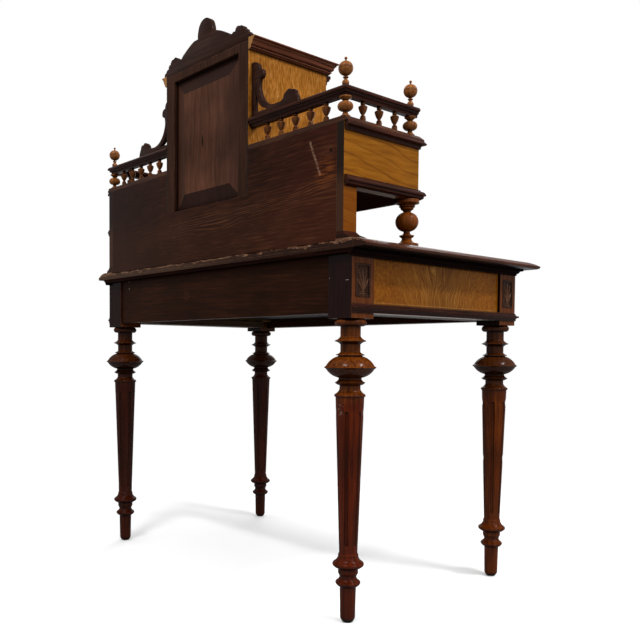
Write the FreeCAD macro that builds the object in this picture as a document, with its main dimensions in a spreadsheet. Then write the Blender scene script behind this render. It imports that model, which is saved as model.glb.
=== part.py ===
import FreeCAD, Part
import os
import re
import Sketcher
from FreeCAD import Rotation, Vector

# A lady's writing desk (bonheur du jour) of about 1880, in walnut on softwood, in millimetres.
# The frame: +X to the sitter's right, +Y to the back, +Z up. The origin lies on the floor, in the
# middle of the desk's width and depth.

doc = FreeCAD.newDocument("ladies_writing_desk")
sheet = doc.addObject("Spreadsheet::Sheet", "sizes")

SIZES = {
    "Table": {
        "desk_width": 1030, "desk_depth": 624, "table_height": 766,
        "side_overhang": 43, "back_overhang": 11, "front_overhang": 39,
        "top_thickness": 19, "edge_moulding_width": 31, "edge_lip": 7,
        "back_lip_height": 6, "bed_projection": 13.5, "bed_height": 15, "batten_height": 9,
        "leather_margin": 62, "leather_thickness": 1.6, "leather_back_gap": 40,
    },
    "Carcass under the top": {
        "post_width": 64, "apron_height": 124, "apron_thickness": 26, "apron_recess": 6,
        "back_apron_thickness": 20, "back_apron_recess": 4, "leg_block_drop": 11,
        "apron_band": 18, "apron_moulding_height": 17, "apron_moulding_projection": 7.5,
        "front_rail_depth": 32, "front_rail_thickness": 18,
        "runner_ledge": 18, "runner_guide_height": 19,
        "inset_width": 42, "inset_height": 65, "inset_recess": 3, "inset_thickness": 4,
        "inset_drop": 28, "inset_fit": 0.3, "inset_border": 3.5, "inset_sink": 1.2,
    },
    "Flutes of the legs": {
        "flute_count": 6, "flute_radius": 4, "flute_stand_off": 0.6,
        "flute_top_gap": 27, "flute_bottom_gap": 14,
    },
    "Desk drawer": {
        "drawer_gap": 1, "drawer_running_gap": 0.3, "drawer_front_thickness": 20,
        "drawer_side_thickness": 10, "drawer_side_height": 74, "drawer_depth": 440,
        "drawer_bottom_thickness": 6, "drawer_bottom_rise": 8, "drawer_back_drop": 8,
        "drawer_knob_spacing": 420, "front_edge_chamfer": 1.5,
    },
    "Upper part": {
        "upper_side_setback": 59, "upper_back_setback": 2, "upper_side_thickness": 19,
        "back_thickness": 12, "niche_height": 102, "wing_depth": 228,
        "pilaster_depth": 37, "plinth_height": 15, "plinth_projection": 14, "plinth_fillet": 4,
        "wing_floor_thickness": 21, "wing_opening_height": 86,
        "wing_crown_height": 27, "wing_top_thickness": 10, "wing_top_overhang": 8,
        "wing_top_chamfer": 7.5,
        "wing_moulding_projection": 12, "wing_rail_depth": 24,
        "moulding_end_gap": 2, "column_side_inset": 15, "column_front_inset": 18,
    },
    "Drawers of the wings": {
        "wing_front_thickness": 16, "wing_drawer_side_thickness": 8,
        "wing_drawer_side_height": 74, "wing_drawer_depth": 185,
        "wing_drawer_bottom_thickness": 5, "wing_drawer_bottom_rise": 4,
        "wing_drawer_back_drop": 6,
    },
    "Cabinet": {
        "cabinet_width": 325, "cabinet_depth": 242, "cabinet_height": 470,
        "cabinet_side_thickness": 16, "cabinet_floor_thickness": 18, "cabinet_top_thickness": 14,
        "shelf_height": 196, "shelf_thickness": 14, "shelf_set_back": 42,
        "cabinet_side_lip": 4,
        "stile_width": 34.5, "back_frame_bottom": 127, "back_frame_drop": 5,
        "back_rail_height": 18, "panel_tongue": 8, "panel_slab": 6, "panel_relief": 8,
        "panel_bevel": 38, "panel_fit": 0.3, "panel_shoulder_rise": 2, "panel_shoulder_run": 3,
        "cornice_height": 25, "cornice_projection": 22,
        "head_rail_height": 37, "head_rail_thickness": 20, "head_moulding_projection": 15,
    },
    "Cabinet door": {
        "door_gap": 1, "door_thickness": 20, "door_stile_width": 45,
        "door_panel_tongue": 6, "door_panel_slab": 6, "door_panel_front": 4, "door_panel_bevel": 26,
        "hinge_stand_off": 3.5, "hinge_height": 46, "hinge_inset": 55, "hinge_leaf": 1,
        "hinge_leaf_width": 13, "hinge_pin_radius": 1.6, "hinge_clearance": 0.08,
        "hinge_joint_gap": 0.3,
        "lock_width": 40, "lock_height": 52, "lock_thickness": 9, "lock_edge_gap": 1,
        "key_inset": 20,
        "key_radius": 2.5, "key_clearance": 0.08, "key_shank_end": 0.5, "key_reach": 24,
        "key_bow_radius": 10.5, "key_bow_width": 4, "key_bow_thickness": 3,
    },
    "Crest": {"crest_height": 98, "crest_overhang": 9.5},
    "Gallery and brackets": {
        "gallery_height": 39, "finial_height": 57,
        "gallery_side_inset": 9.4, "gallery_back_inset": 14.5, "gallery_front_inset": 19,
        "gallery_rail_half": 14.5, "gallery_rail_height": 19, "gallery_rail_end": 16,
        "back_spindle_gap": 52, "side_spindle_gap": 50,
        "bracket_length": 150, "bracket_top_gap": 29, "bracket_thickness": 9,
        "bracket_back_inset": 11,
    },
}

# The turnings, from the top down: each row is a length of the stick with its form, its height
# and the radius that it reaches. A "stick" is straight and steps out to its radius at once, a
# "taper" runs straight to it, a "hollow" and a "round" reach it in a concave or a convex curve, a
# "bead" swells to it and comes back, and a "ring" is a disc with a half-round rim. A stick without
# a radius carries on at the one reached before it.
TURNINGS = {
    "leg": [
        ("collar", "ring", 15, 32), ("upper_neck", "stick", 20, 20.3),
        ("flare", "hollow", 8.5, 31.5), ("knife", "stick", 1.5, None),
        ("under_knife", "hollow", 6, 20), ("middle_neck", "stick", 15, None),
        ("dish", "hollow", 5, 28.4), ("dish_rim", "stick", 2, None),
        ("bulb_seat", "stick", 1.5, 24.5), ("bulb_top", "round", 19.5, 48.5),
        ("bulb_lip", "taper", 3, 52.7), ("bulb_under_lip", "taper", 3, 48.5),
        ("bulb_bottom", "round", 17.5, 24), ("bulb_neck", "stick", 3, 23),
        ("cup", "hollow", 6.5, 30.8), ("cup_round", "round", 5.5, 21.5),
        ("lower_neck", "stick", 8, 21), ("shoulder", "hollow", 9.5, 29.5),
        ("shoulder_bead", "bead", 6, 31.4), ("shaft_top", "stick", 1, 28.7),
        ("shaft", "taper", 0, 18.5), ("ankle_flare", "hollow", 4, 20.4),
        ("ankle_band", "stick", 4, None), ("ankle_hollow", "hollow", 11, 29),
        ("ankle_bead", "bead", 9, 31.8), ("ankle_under", "round", 4, 20.3),
        ("ankle_neck", "stick", 10, None), ("toe_hollow", "hollow", 8, 17),
        ("toe_flare", "hollow", 8, 24), ("toe_bead", "bead", 6.5, 25.3),
        ("toe_under", "round", 5, 16.5), ("foot", "taper", 62.5, 15.2),
        ("foot_end", "round", 10, 9),
    ],
    "column": [
        ("abacus", "stick", 7, 25.6), ("abacus_hollow", "hollow", 4, 16),
        ("upper_ring", "ring", 4, 17), ("lower_ring", "ring", 5, 14),
        ("ball_neck", "hollow", 5.5, 7.6), ("ball", "bead", 40, 24.5),
        ("ball_foot", "stick", 4, 7), ("disc", "hollow", 5, 16), ("disc_round", "round", 5, 10.6),
        ("waist", "stick", 3.5, None), ("base_flare", "hollow", 9, 22.7), ("base", "stick", 0, 25),
    ],
    "spindle": [
        ("seat", "stick", 1, 3.6), ("top", "bead", 4.5, 5), ("urn_top", "taper", 4, 9.2),
        ("urn", "round", 15, 3.4), ("urn_foot", "stick", 2.5, 3.2), ("foot_bead", "bead", 4, 5.4),
        ("foot", "stick", 0, 6),
    ],
    "gallery_post": [
        ("cap", "stick", 2, 12), ("cap_hollow", "hollow", 8, 4.5), ("knob", "bead", 17.5, 15.5),
        ("knob_foot", "stick", 1.5, None), ("base", "hollow", 8, 9.6), ("base_band", "stick", 0, 10),
    ],
    "finial": [
        ("tip", "bead", 5, 3), ("tip_neck", "stick", 3, 1.8), ("ball", "bead", 28, 14.6),
        ("neck", "stick", 2, 2.8), ("disc", "ring", 2.5, 5.6), ("disc_neck", "stick", 2.5, 3.2),
        ("lower_ball", "bead", 0, 7.2),
    ],
    "knob": [
        ("face", "round", 5, 14), ("rim", "bead", 5, 15), ("under", "round", 6, 6),
        ("stem", "stick", 5, None), ("rose", "stick", 2.5, 10),
    ],
}


def fill_sheet():
    """Write every size to the sheet, one to a row, under the heading of its piece."""
    row = 1
    blocks = dict(SIZES)
    for stick, lengths in TURNINGS.items():
        block = {}
        for name, form, height, radius in lengths:
            if height:
                block[f"{stick}_{name}_height"] = height
            if radius:
                block[f"{stick}_{name}_radius"] = radius
        blocks[f"Turning: {stick}"] = block
    for heading, block in blocks.items():
        sheet.set(f"A{row}", heading)
        row += 1
        for alias, value in block.items():
            sheet.set(f"A{row}", alias.replace("_", " "))
            sheet.set(f"B{row}", str(value))
            sheet.setAlias(f"B{row}", alias)
            known.add(alias)
            row += 1
    doc.recompute()


known = set()
fill_sheet()


def bound(text):
    """The expression with each size's name turned into a reference to the sheet."""
    return re.sub(r"[a-z][a-z_0-9]*", lambda word: "sizes." + word[0] if word[0] in known else word[0], str(text))


def number(text):
    """What an expression comes to now."""
    return float(sheet.evalExpression(bound(text)))


def bind(thing, field, text):
    """Tie a field of an object to the sheet."""
    thing.setExpression(field, bound(text))


# ---- Lines that several pieces share, worked out from the sizes -----------------------------

# The bulbs of the back legs stand out behind the top, so the whole is deeper than the top, and
# the origin lies in the middle of the whole.
BULB_PROUD = "(leg_bulb_lip_radius - post_width / 2 - back_overhang)"
FRONT_EDGE = f"(-(desk_depth + {BULB_PROUD}) / 2)"
BACK_EDGE = f"({FRONT_EDGE} + desk_depth)"
POST_X = "(desk_width / 2 - side_overhang)"
POST_BACK = f"({BACK_EDGE} - back_overhang)"
POST_FRONT = f"({FRONT_EDGE} + front_overhang)"
LEG_X = f"({POST_X} - post_width / 2)"
LEG_BACK = f"({POST_BACK} - post_width / 2)"
LEG_FRONT = f"({POST_FRONT} + post_width / 2)"
POST_INNER = f"({POST_X} - post_width)"
BETWEEN_BACK = f"({POST_BACK} - post_width)"
BETWEEN_FRONT = f"({POST_FRONT} + post_width)"
TOP_UNDER = "(table_height - top_thickness)"
APRON_BOTTOM = f"({TOP_UNDER} - apron_height)"
BLOCK_BOTTOM = f"({APRON_BOTTOM} - leg_block_drop)"
APRON_X = f"({POST_X} - apron_recess)"
APRON_INNER = f"({POST_X} - apron_thickness)"
BOARD_X = "(desk_width / 2 - edge_moulding_width)"
BOARD_FRONT = f"({FRONT_EDGE} + edge_moulding_width)"
DRAWER_FLOOR = f"({APRON_BOTTOM} + front_rail_thickness)"
DRAWER_CEILING = f"({TOP_UNDER} - front_rail_thickness)"
LEDGE_TOP = f"({DRAWER_FLOOR} + drawer_running_gap)"

UPPER_BACK = f"({BACK_EDGE} - upper_back_setback)"
UPPER_X = "(desk_width / 2 - upper_side_setback)"
UPPER_INNER = f"({UPPER_X} - upper_side_thickness)"
BACK_INNER = f"({UPPER_BACK} - back_thickness)"
BACK_FOOT = f"({TOP_UNDER} + back_lip_height)"
WING_FRONT = f"({UPPER_BACK} - wing_depth)"
WING_BOTTOM = "(table_height + niche_height)"
WING_FLOOR = f"({WING_BOTTOM} + wing_floor_thickness)"
WING_CEILING = f"({WING_FLOOR} + wing_opening_height)"
WING_TOP = f"({WING_CEILING} + wing_crown_height)"
WING_TOP_UNDER = f"({WING_TOP} - wing_top_thickness)"
CABINET_X = "(cabinet_width / 2)"
CABINET_INNER = f"({CABINET_X} - cabinet_side_thickness)"
CABINET_FRONT = f"({UPPER_BACK} - cabinet_depth)"
CABINET_TOP = "(table_height + cabinet_height)"
CABINET_FLOOR = "(table_height + cabinet_floor_thickness)"
CABINET_BACK = f"({BACK_INNER} - panel_slab)"
CORNICE_BOTTOM = f"({CABINET_TOP} - cornice_height)"
HEAD_TOP = f"({CABINET_TOP} - cabinet_top_thickness)"
HEAD_BOTTOM = f"({HEAD_TOP} - head_rail_height)"
PANEL_X = f"({CABINET_X} - stile_width)"
PANEL_BOTTOM = "(table_height + back_frame_bottom)"
FRAME_TOP = f"({CABINET_TOP} - back_frame_drop)"
PANEL_TOP = f"({FRAME_TOP} - back_rail_height)"
DOOR_X = f"({CABINET_INNER} - door_gap)"
DOOR_BOTTOM = f"({CABINET_FLOOR} + door_gap)"
DOOR_TOP = f"({HEAD_BOTTOM} - door_gap)"
DOOR_BACK = f"({CABINET_FRONT} + door_thickness)"
GALLERY_X = f"({UPPER_X} - gallery_side_inset)"
GALLERY_BACK = f"({BACK_EDGE} - gallery_back_inset)"
GALLERY_FRONT = f"({WING_FRONT} + gallery_front_inset)"
RAIL_BOTTOM = f"({WING_TOP} + gallery_height)"
RAIL_TOP = f"({RAIL_BOTTOM} + gallery_rail_height)"


# ---- Ways of making a piece -----------------------------------------------------------------


def new_body(label):
    """An empty body with the name of the piece."""
    body = doc.addObject("PartDesign::Body", label)
    body.Label = label
    return body


def place(thing, x="0", y="0", z="0", turn=0):
    """Put a piece where its expressions say, turned about the upright axis by so many degrees."""
    thing.Placement.Rotation = Rotation(Vector(0, 0, 1), turn)
    bind(thing, "Placement.Base.x", x)
    bind(thing, "Placement.Base.y", y)
    bind(thing, "Placement.Base.z", z)


def new_sketch(body, name, plane, offset="0"):
    """A sketch on one of the body's own origin planes, moved along the plane's normal."""
    sketch = body.newObject("Sketcher::SketchObject", f"{body.Name}_{name}")
    support = next(datum for datum in body.Origin.OriginFeatures if datum.Role == f"{plane}_Plane")
    sketch.AttachmentSupport = (support, [""])
    sketch.MapMode = "FlatFace"
    bind(sketch, "AttachmentOffset.Base.z", offset)
    return sketch


def outline(sketch, corners):
    """Draw a closed outline and pin it to the sheet.

    A corner is (x, y). With a third value, (x, y), the way on from it is an arc through there.
    """
    spots = [Vector(number(corner[0]), number(corner[1]), 0) for corner in corners]
    edges = []
    for index, corner in enumerate(corners):
        start, end = spots[index], spots[(index + 1) % len(spots)]
        if len(corner) == 3:
            middle = Vector(number(corner[2][0]), number(corner[2][1]), 0)
            edges.append(Part.Arc(start, middle, end))
        else:
            edges.append(Part.LineSegment(start, end))
    ids = sketch.addGeometry(edges, False)
    # An arc that runs clockwise is stored the other way round, so its ends change places.
    ends = [(1, 2) if (sketch.getPoint(edge, 1) - spot).Length < 1e-6 else (2, 1)
            for edge, spot in zip(ids, spots)]
    constraints = []
    formulas = []
    for index, corner in enumerate(corners):
        before = index - 1
        constraints.append(
            Sketcher.Constraint("Coincident", ids[before], ends[before][1], ids[index], ends[index][0])
        )
        for kind, value in (("DistanceX", corner[0]), ("DistanceY", corner[1])):
            formulas.append((len(constraints), value))
            constraints.append(
                Sketcher.Constraint(kind, -1, 1, ids[index], ends[index][0], number(value))
            )
        if len(corner) == 3:
            x, y = corner[2]
            point = sketch.addGeometry(Part.Point(Vector(number(x), number(y), 0)), True)
            constraints.append(Sketcher.Constraint("PointOnObject", point, 1, ids[index]))
            for kind, value in (("DistanceX", x), ("DistanceY", y)):
                formulas.append((len(constraints), value))
                constraints.append(Sketcher.Constraint(kind, -1, 1, point, 1, number(value)))
    sketch.addConstraint(constraints)
    for index, value in formulas:
        bind(sketch, f"Constraints[{index}]", value)


def rectangle(sketch, left, right, bottom, top):
    outline(sketch, [(left, bottom), (right, bottom), (right, top), (left, top)])


def circle(sketch, x, y, radius):
    """A round hole or disc."""
    centre = Vector(number(x), number(y), 0)
    ring = sketch.addGeometry(Part.Circle(centre, Vector(0, 0, 1), number(radius)), False)
    first = sketch.ConstraintCount
    sketch.addConstraint([
        Sketcher.Constraint("DistanceX", -1, 1, ring, 3, centre.x),
        Sketcher.Constraint("DistanceY", -1, 1, ring, 3, centre.y),
        Sketcher.Constraint("Radius", ring, number(radius)),
    ])
    for index, value in enumerate((x, y, radius)):
        bind(sketch, f"Constraints[{first + index}]", value)


def pad(body, sketch, length):
    """Thicken a sketch along its normal."""
    feature = body.newObject("PartDesign::Pad", f"{sketch.Name}_pad")
    feature.Profile = sketch
    bind(feature, "Length", length)
    return feature


def pocket(body, sketch, depth=None):
    """Cut a sketch into the body: `depth` along its normal, or all the way through both ways."""
    feature = body.newObject("PartDesign::Pocket", f"{sketch.Name}_pocket")
    feature.Profile = sketch
    if depth is None:
        feature.Type = "ThroughAll"
        feature.SideType = "Symmetric"
    else:
        feature.Reversed = True
        bind(feature, "Length", depth)
    return feature


def along(plane, near, far):
    """Where a sketch lies so that a pad from it fills `near` to `far` on the plane's axis.

    The XZ plane looks towards -Y, so a pad on it starts at the far side.
    """
    return f"-({far})" if plane == "XZ" else near


def board(label, plane, near, far, corners):
    """A flat piece sawn to an outline, from `near` to `far` across the plane."""
    body = new_body(label)
    sketch = new_sketch(body, "outline", plane, along(plane, near, far))
    outline(sketch, corners)
    pad(body, sketch, f"({far}) - ({near})")
    return body


def cut_out(body, name, plane, near, far, corners):
    """A recess or an opening in a board, from `near` to `far` across the plane."""
    sketch = new_sketch(body, name, plane, along(plane, near, far))
    outline(sketch, corners)
    return pocket(body, sketch, f"({far}) - ({near})")


def box_corners(left, right, bottom, top):
    return [(left, bottom), (right, bottom), (right, top), (left, top)]


def slab(label, x, y, z):
    """A plain squared board: each of x, y and z is its near and far side."""
    box = doc.addObject("Part::Box", label)
    box.Label = label
    for field, letter, (near, far) in (("Length", "x", x), ("Width", "y", y), ("Height", "z", z)):
        bind(box, field, f"({far}) - ({near})")
        bind(box, f"Placement.Base.{letter}", near)
    return box


def mirrored(side, near, far):
    """The span from `near` to `far` from the middle, on the left (-1) or the right (1)."""
    return (near, far) if side > 0 else (f"-({far})", f"-({near})")


def group(label, pieces):
    """Several solids of one kind that share a name."""
    bundle = doc.addObject("Part::Compound", label)
    bundle.Label = label
    bundle.Links = pieces
    return bundle


def copy_of(piece, name, x, y, z, turn=0):
    """One more of a piece, somewhere else."""
    link = doc.addObject("App::Link", name)
    link.LinkedObject = piece
    place(link, x, y, z, turn)
    return link


def turned_profile(stick, remainder=None):
    """Corners of a turning's profile, from the top at the origin down, closed along its axis.

    `remainder` gives the height of the one length that has none of its own.
    """
    lengths = TURNINGS[stick]
    level = "0"
    reach = None
    corners = [("0", "0")]
    for name, form, height, radius in lengths:
        own_radius = f"{stick}_{name}_radius"
        own_height = f"{stick}_{name}_height" if height else remainder
        half = f"{level} - ({own_height}) / 2"
        lower = f"{level} - ({own_height})"
        if form == "ring":
            shoulder = f"({own_radius} - ({own_height}) / 2)"
            corners.append((shoulder, level, (own_radius, half)))
            corners.append((shoulder, lower))
            reach = shoulder
        elif form == "stick":
            if radius:
                corners.append((own_radius, level))
                reach = own_radius
            corners.append((reach, lower))
        elif form == "taper":
            corners.append((own_radius, lower))
            reach = own_radius
        else:
            start = reach or "0"
            if form == "bead":
                middle, end = own_radius, start if reach else f"({own_radius} / 2)"
            else:
                lean = "-" if form == "hollow" else "+"
                middle = f"({start} + {own_radius}) / 2 {lean} abs({own_radius} - {start}) / 5"
                end = own_radius
            x, y = corners[-1][0], corners[-1][1]
            corners[-1] = (x, y, (middle, half))
            corners.append((end, lower))
            reach = end
        level = lower
    corners.append(("0", level))
    return corners


def turned(label, stick, remainder=None):
    """A piece turned on the lathe, its top at the origin of the body."""
    body = new_body(label)
    sketch = new_sketch(body, "profile", "XZ")
    outline(sketch, turned_profile(stick, remainder))
    feature = body.newObject("PartDesign::Revolution", f"{label}_turning")
    feature.Profile = sketch
    feature.ReferenceAxis = (sketch, ["V_Axis"])
    feature.Angle = 360
    return body


def heights(stick, names=None):
    """The lengths of a turning added up, all of them or those named."""
    return " + ".join(f"{stick}_{name}_height" for name, form, height, radius in TURNINGS[stick]
                      if height and (names is None or name in names))


def strip(label, profile, reach, length, mitred_start=False, mitred_end=False):
    """A length of moulding that runs along the body's +Y, its face towards +X.

    The profile is in (out, up). A mitred end is cut at 45 degrees through the corner on X = 0,
    and `reach` is how far from that line the moulding may go on either side.
    """
    body = new_body(label)
    near = f"-({reach})" if mitred_start else "0"
    far = f"({length}) + ({reach})" if mitred_end else length
    sketch = new_sketch(body, "profile", "XZ", along("XZ", near, far))
    outline(sketch, profile)
    pad(body, sketch, f"({far}) - ({near})")
    wide = f"({reach}) * 1.01"
    if mitred_start:
        start = new_sketch(body, "mitre_start", "XY")
        outline(start, [(f"-{wide}", wide), (wide, f"-{wide}"), (f"-{wide}", f"-{wide}")])
        pocket(body, start)
    if mitred_end:
        end = new_sketch(body, "mitre_end", "XY")
        outline(end, [(f"-{wide}", f"({length}) - {wide}"), (wide, f"({length}) + {wide}"),
                      (f"-{wide}", f"({length}) + {wide}")])
        pocket(body, end)
    return body


def round_the_front(label, profile, reach, half_width, front, back, z):
    """Mouldings on the left, front and right of a case, mitred at its two front corners."""
    depth = f"({back}) - ({front})"
    left = strip(f"{label}_left", profile, reach, depth, mitred_end=True)
    place(left, f"-({half_width})", back, z, 180)
    front_piece = strip(f"{label}_front", profile, reach, f"2 * ({half_width})", True, True)
    place(front_piece, f"-({half_width})", front, z, -90)
    right = strip(f"{label}_right", profile, reach, depth, mitred_start=True)
    place(right, half_width, front, z, 0)
    return [left, front_piece, right]


def round_a_wing(label, side, profile, reach, back, z):
    """Mouldings on the outer side and the front of one wing, mitred at its outer corner."""
    depth = f"({back}) - ({WING_FRONT})"
    width = f"{UPPER_X} - {CABINET_X}"
    if side < 0:
        flank = strip(f"{label}_flank", profile, reach, depth, mitred_end=True)
        place(flank, f"-{UPPER_X}", back, z, 180)
        face = strip(f"{label}_face", profile, reach, width, mitred_start=True)
        place(face, f"-{UPPER_X}", WING_FRONT, z, -90)
    else:
        flank = strip(f"{label}_flank", profile, reach, depth, mitred_start=True)
        place(flank, UPPER_X, WING_FRONT, z, 0)
        face = strip(f"{label}_face", profile, reach, width, mitred_end=True)
        place(face, CABINET_X, WING_FRONT, z, -90)
    return [flank, face]


SIDES = (("left", -1), ("right", 1))
parts = []


# ---- Legs -----------------------------------------------------------------------------------


def leg(label, side, back):
    """A turned and fluted leg with the square post that the aprons are tenoned into."""
    shaft = f"{BLOCK_BOTTOM} - ({heights('leg')})"
    body = turned(label, "leg", shaft)
    post = new_sketch(body, "post", "XY")
    rectangle(post, "-post_width / 2", "post_width / 2", "-post_width / 2", "post_width / 2")
    pad(body, post, f"{TOP_UNDER} - {BLOCK_BOTTOM}")

    # One carved inset lies in the outer side of each post, and one in the front of the front ones.
    middle = f"({TOP_UNDER} - {BLOCK_BOTTOM} - inset_drop - inset_height / 2)"
    half = "(inset_width / 2 + inset_fit)"
    rise = "(inset_height / 2 + inset_fit)"
    window = box_corners(f"-{half}", half, f"{middle} - {rise}", f"{middle} + {rise}")
    near, far = mirrored(side, "post_width / 2 - inset_recess", "post_width / 2")
    cut_out(body, "side_recess", "YZ", near, far, window)
    if not back:
        cut_out(body, "front_recess", "XZ", "-post_width / 2", "inset_recess - post_width / 2", window)

    # The flutes follow the taper of the shaft and have round ends.
    names = [row[0] for row in TURNINGS["leg"]]
    shaft_top = f"({heights('leg', names[:names.index('shaft')])})"
    run = f"({shaft})"
    length = f"({run} - flute_top_gap - flute_bottom_gap)"
    flute = new_sketch(body, "flute", "XZ")
    outline(flute, [
        ("0", f"{length} / 2", ("flute_radius * sqrt(0.5)", f"{length} / 2 - flute_radius * (1 - sqrt(0.5))")),
        ("flute_radius", f"{length} / 2 - flute_radius"),
        ("flute_radius", f"flute_radius - {length} / 2",
         ("flute_radius * sqrt(0.5)", f"flute_radius * (1 - sqrt(0.5)) - {length} / 2")),
        ("0", f"-{length} / 2"),
    ])
    lean = f"(leg_shaft_top_radius - leg_shaft_radius) / {run}"
    centre = f"(flute_top_gap + {length} / 2)"
    bind(flute, "AttachmentOffset.Rotation.Angle", f"-atan({lean})")
    bind(flute, "AttachmentOffset.Base.x", f"leg_shaft_top_radius - {lean} * {centre} + flute_stand_off")
    bind(flute, "AttachmentOffset.Base.y", f"-{shaft_top} - {centre}")
    groove = body.newObject("PartDesign::Groove", f"{label}_flute_cut")
    groove.Profile = flute
    groove.ReferenceAxis = (flute, ["V_Axis"])
    groove.Angle = 360
    flutes = body.newObject("PartDesign::PolarPattern", f"{label}_flutes")
    flutes.Originals = [groove]
    axis = next(datum for datum in body.Origin.OriginFeatures if datum.Role == "Z_Axis")
    flutes.Axis = (axis, [""])
    flutes.Angle = 360
    bind(flutes, "Occurrences", "flute_count")
    body.Tip = flutes

    place(body, f"{side} * {LEG_X}", LEG_BACK if back else LEG_FRONT, BLOCK_BOTTOM)
    return body


for end_name, is_back in (("back", True), ("front", False)):
    for side_name, side in SIDES:
        parts.append(leg(f"leg_{end_name}_{side_name}", side, is_back))


# ---- Aprons, rails and runners --------------------------------------------------------------

parts.append(slab(
    "apron_back",
    (f"-{POST_INNER}", POST_INNER),
    (f"{POST_BACK} - back_apron_recess - back_apron_thickness", f"{POST_BACK} - back_apron_recess"),
    (APRON_BOTTOM, TOP_UNDER),
))

# A side apron stands back from the posts above a band that is flush with them.
for side_name, side in SIDES:
    band_top = f"{APRON_BOTTOM} + apron_band"
    section = [
        (f"{side} * {APRON_INNER}", APRON_BOTTOM),
        (f"{side} * {POST_X}", APRON_BOTTOM),
        (f"{side} * {POST_X}", band_top),
        (f"{side} * {APRON_X}", band_top),
        (f"{side} * {APRON_X}", TOP_UNDER),
        (f"{side} * {APRON_INNER}", TOP_UNDER),
    ]
    parts.append(board(f"apron_{side_name}", "XZ", BETWEEN_FRONT, BETWEEN_BACK, section))

parts.append(group("front_rails", [
    slab(
        label,
        (f"-{POST_INNER}", POST_INNER),
        (POST_FRONT, f"{POST_FRONT} + front_rail_depth"),
        (bottom, f"{bottom} + front_rail_thickness"),
    )
    for label, bottom in (("front_rail_lower", APRON_BOTTOM), ("front_rail_upper", DRAWER_CEILING))
]))

# On each side a runner carries the drawer, and a guide above it keeps the drawer straight.
runners = []
for side_name, side in SIDES:
    runners.append(slab(
        f"runner_{side_name}",
        mirrored(side, f"{POST_INNER} - runner_ledge", APRON_INNER),
        (BETWEEN_FRONT, BETWEEN_BACK),
        (APRON_BOTTOM, DRAWER_FLOOR),
    ))
    runners.append(slab(
        f"guide_{side_name}",
        mirrored(side, POST_INNER, APRON_INNER),
        (BETWEEN_FRONT, BETWEEN_BACK),
        (DRAWER_FLOOR, f"{DRAWER_FLOOR} + runner_guide_height"),
    ))
parts.append(group("drawer_runners", runners))

out = "apron_moulding_projection"
tall = "apron_moulding_height"
apron_profile = [
    ("0", "0"),
    (f"0.3 * {out}", "0"),
    (f"0.3 * {out}", f"0.2 * {tall}", (f"0.5 * {out}", f"0.38 * {tall}")),
    (out, f"0.45 * {tall}"),
    (out, f"0.68 * {tall}", (f"0.42 * {out}", f"0.76 * {tall}")),
    (f"0.25 * {out}", tall),
    ("0", tall),
]
parts.append(group("apron_moulding", round_the_front(
    "apron_moulding_strip", apron_profile, out, POST_X, POST_FRONT, POST_BACK, APRON_BOTTOM,
)))


# ---- Carved insets of the posts -------------------------------------------------------------


def inset(label):
    """A small upright tablet with a raised border and a leaf that stands out of its ground."""
    half, rise = "inset_width / 2", "inset_height / 2"
    body = board(label, "XZ", "-inset_thickness", "0", box_corners(f"-{half}", half, f"-{rise}", rise))
    inner_half, inner_rise = f"({half} - inset_border)", f"({rise} - inset_border)"
    cut_out(body, "ground", "XZ", "-inset_thickness", "inset_sink - inset_thickness",
            box_corners(f"-{inner_half}", inner_half, f"-{inner_rise}", inner_rise))
    leaf = new_sketch(body, "leaf", "XZ", "inset_thickness - inset_sink")
    tip, root = f"0.8 * {inner_rise}", f"-0.85 * {inner_rise}"
    outline(leaf, [
        ("0", root, (f"0.62 * {inner_half}", f"-0.1 * {inner_rise}")),
        (f"0.3 * {inner_half}", f"0.45 * {inner_rise}"),
        ("0", tip),
        (f"-0.3 * {inner_half}", f"0.45 * {inner_rise}", (f"-0.62 * {inner_half}", f"-0.1 * {inner_rise}")),
    ])
    pad(body, leaf, "inset_sink * 0.8")
    return body


inset_middle = f"({TOP_UNDER} - inset_drop - inset_height / 2)"
pattern_inset = inset("inset")
insets = []
for side_name, side in SIDES:
    face = f"{side} * ({POST_X} - inset_recess)"
    for end_name, y in (("back", LEG_BACK), ("front", LEG_FRONT)):
        insets.append(copy_of(pattern_inset, f"inset_{side_name}_{end_name}", face, y, inset_middle, 90 * side))
    insets.append(copy_of(pattern_inset, f"inset_{side_name}_face", f"{side} * {LEG_X}",
                          f"{POST_FRONT} + inset_recess", inset_middle))
parts.append(group("carved_insets", insets))


# ---- The top --------------------------------------------------------------------------------

# The board has a rebate in its back edge, which the back of the upper part stands in, and a
# shallow bed for the writing leather.
table_top = board("table_top", "YZ", f"-{BOARD_X}", BOARD_X,
                  box_corners(BOARD_FRONT, BACK_EDGE, TOP_UNDER, "table_height"))
cut_out(table_top, "back_rebate", "YZ", f"-{UPPER_INNER}", UPPER_INNER,
        box_corners(BACK_INNER, BACK_EDGE, BACK_FOOT, "table_height"))
leather_x = f"({BOARD_X} - leather_margin)"
leather_front = f"({BOARD_FRONT} + leather_margin)"
leather_back = f"({CABINET_FRONT} - leather_back_gap)"
cut_out(table_top, "leather_bed", "XY", "table_height - leather_thickness", "table_height",
        box_corners(f"-{leather_x}", leather_x, leather_front, leather_back))
parts.append(table_top)
parts.append(slab(
    "writing_leather",
    (f"-{leather_x}", leather_x),
    (leather_front, leather_back),
    ("table_height - leather_thickness", "table_height"),
))

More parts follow.
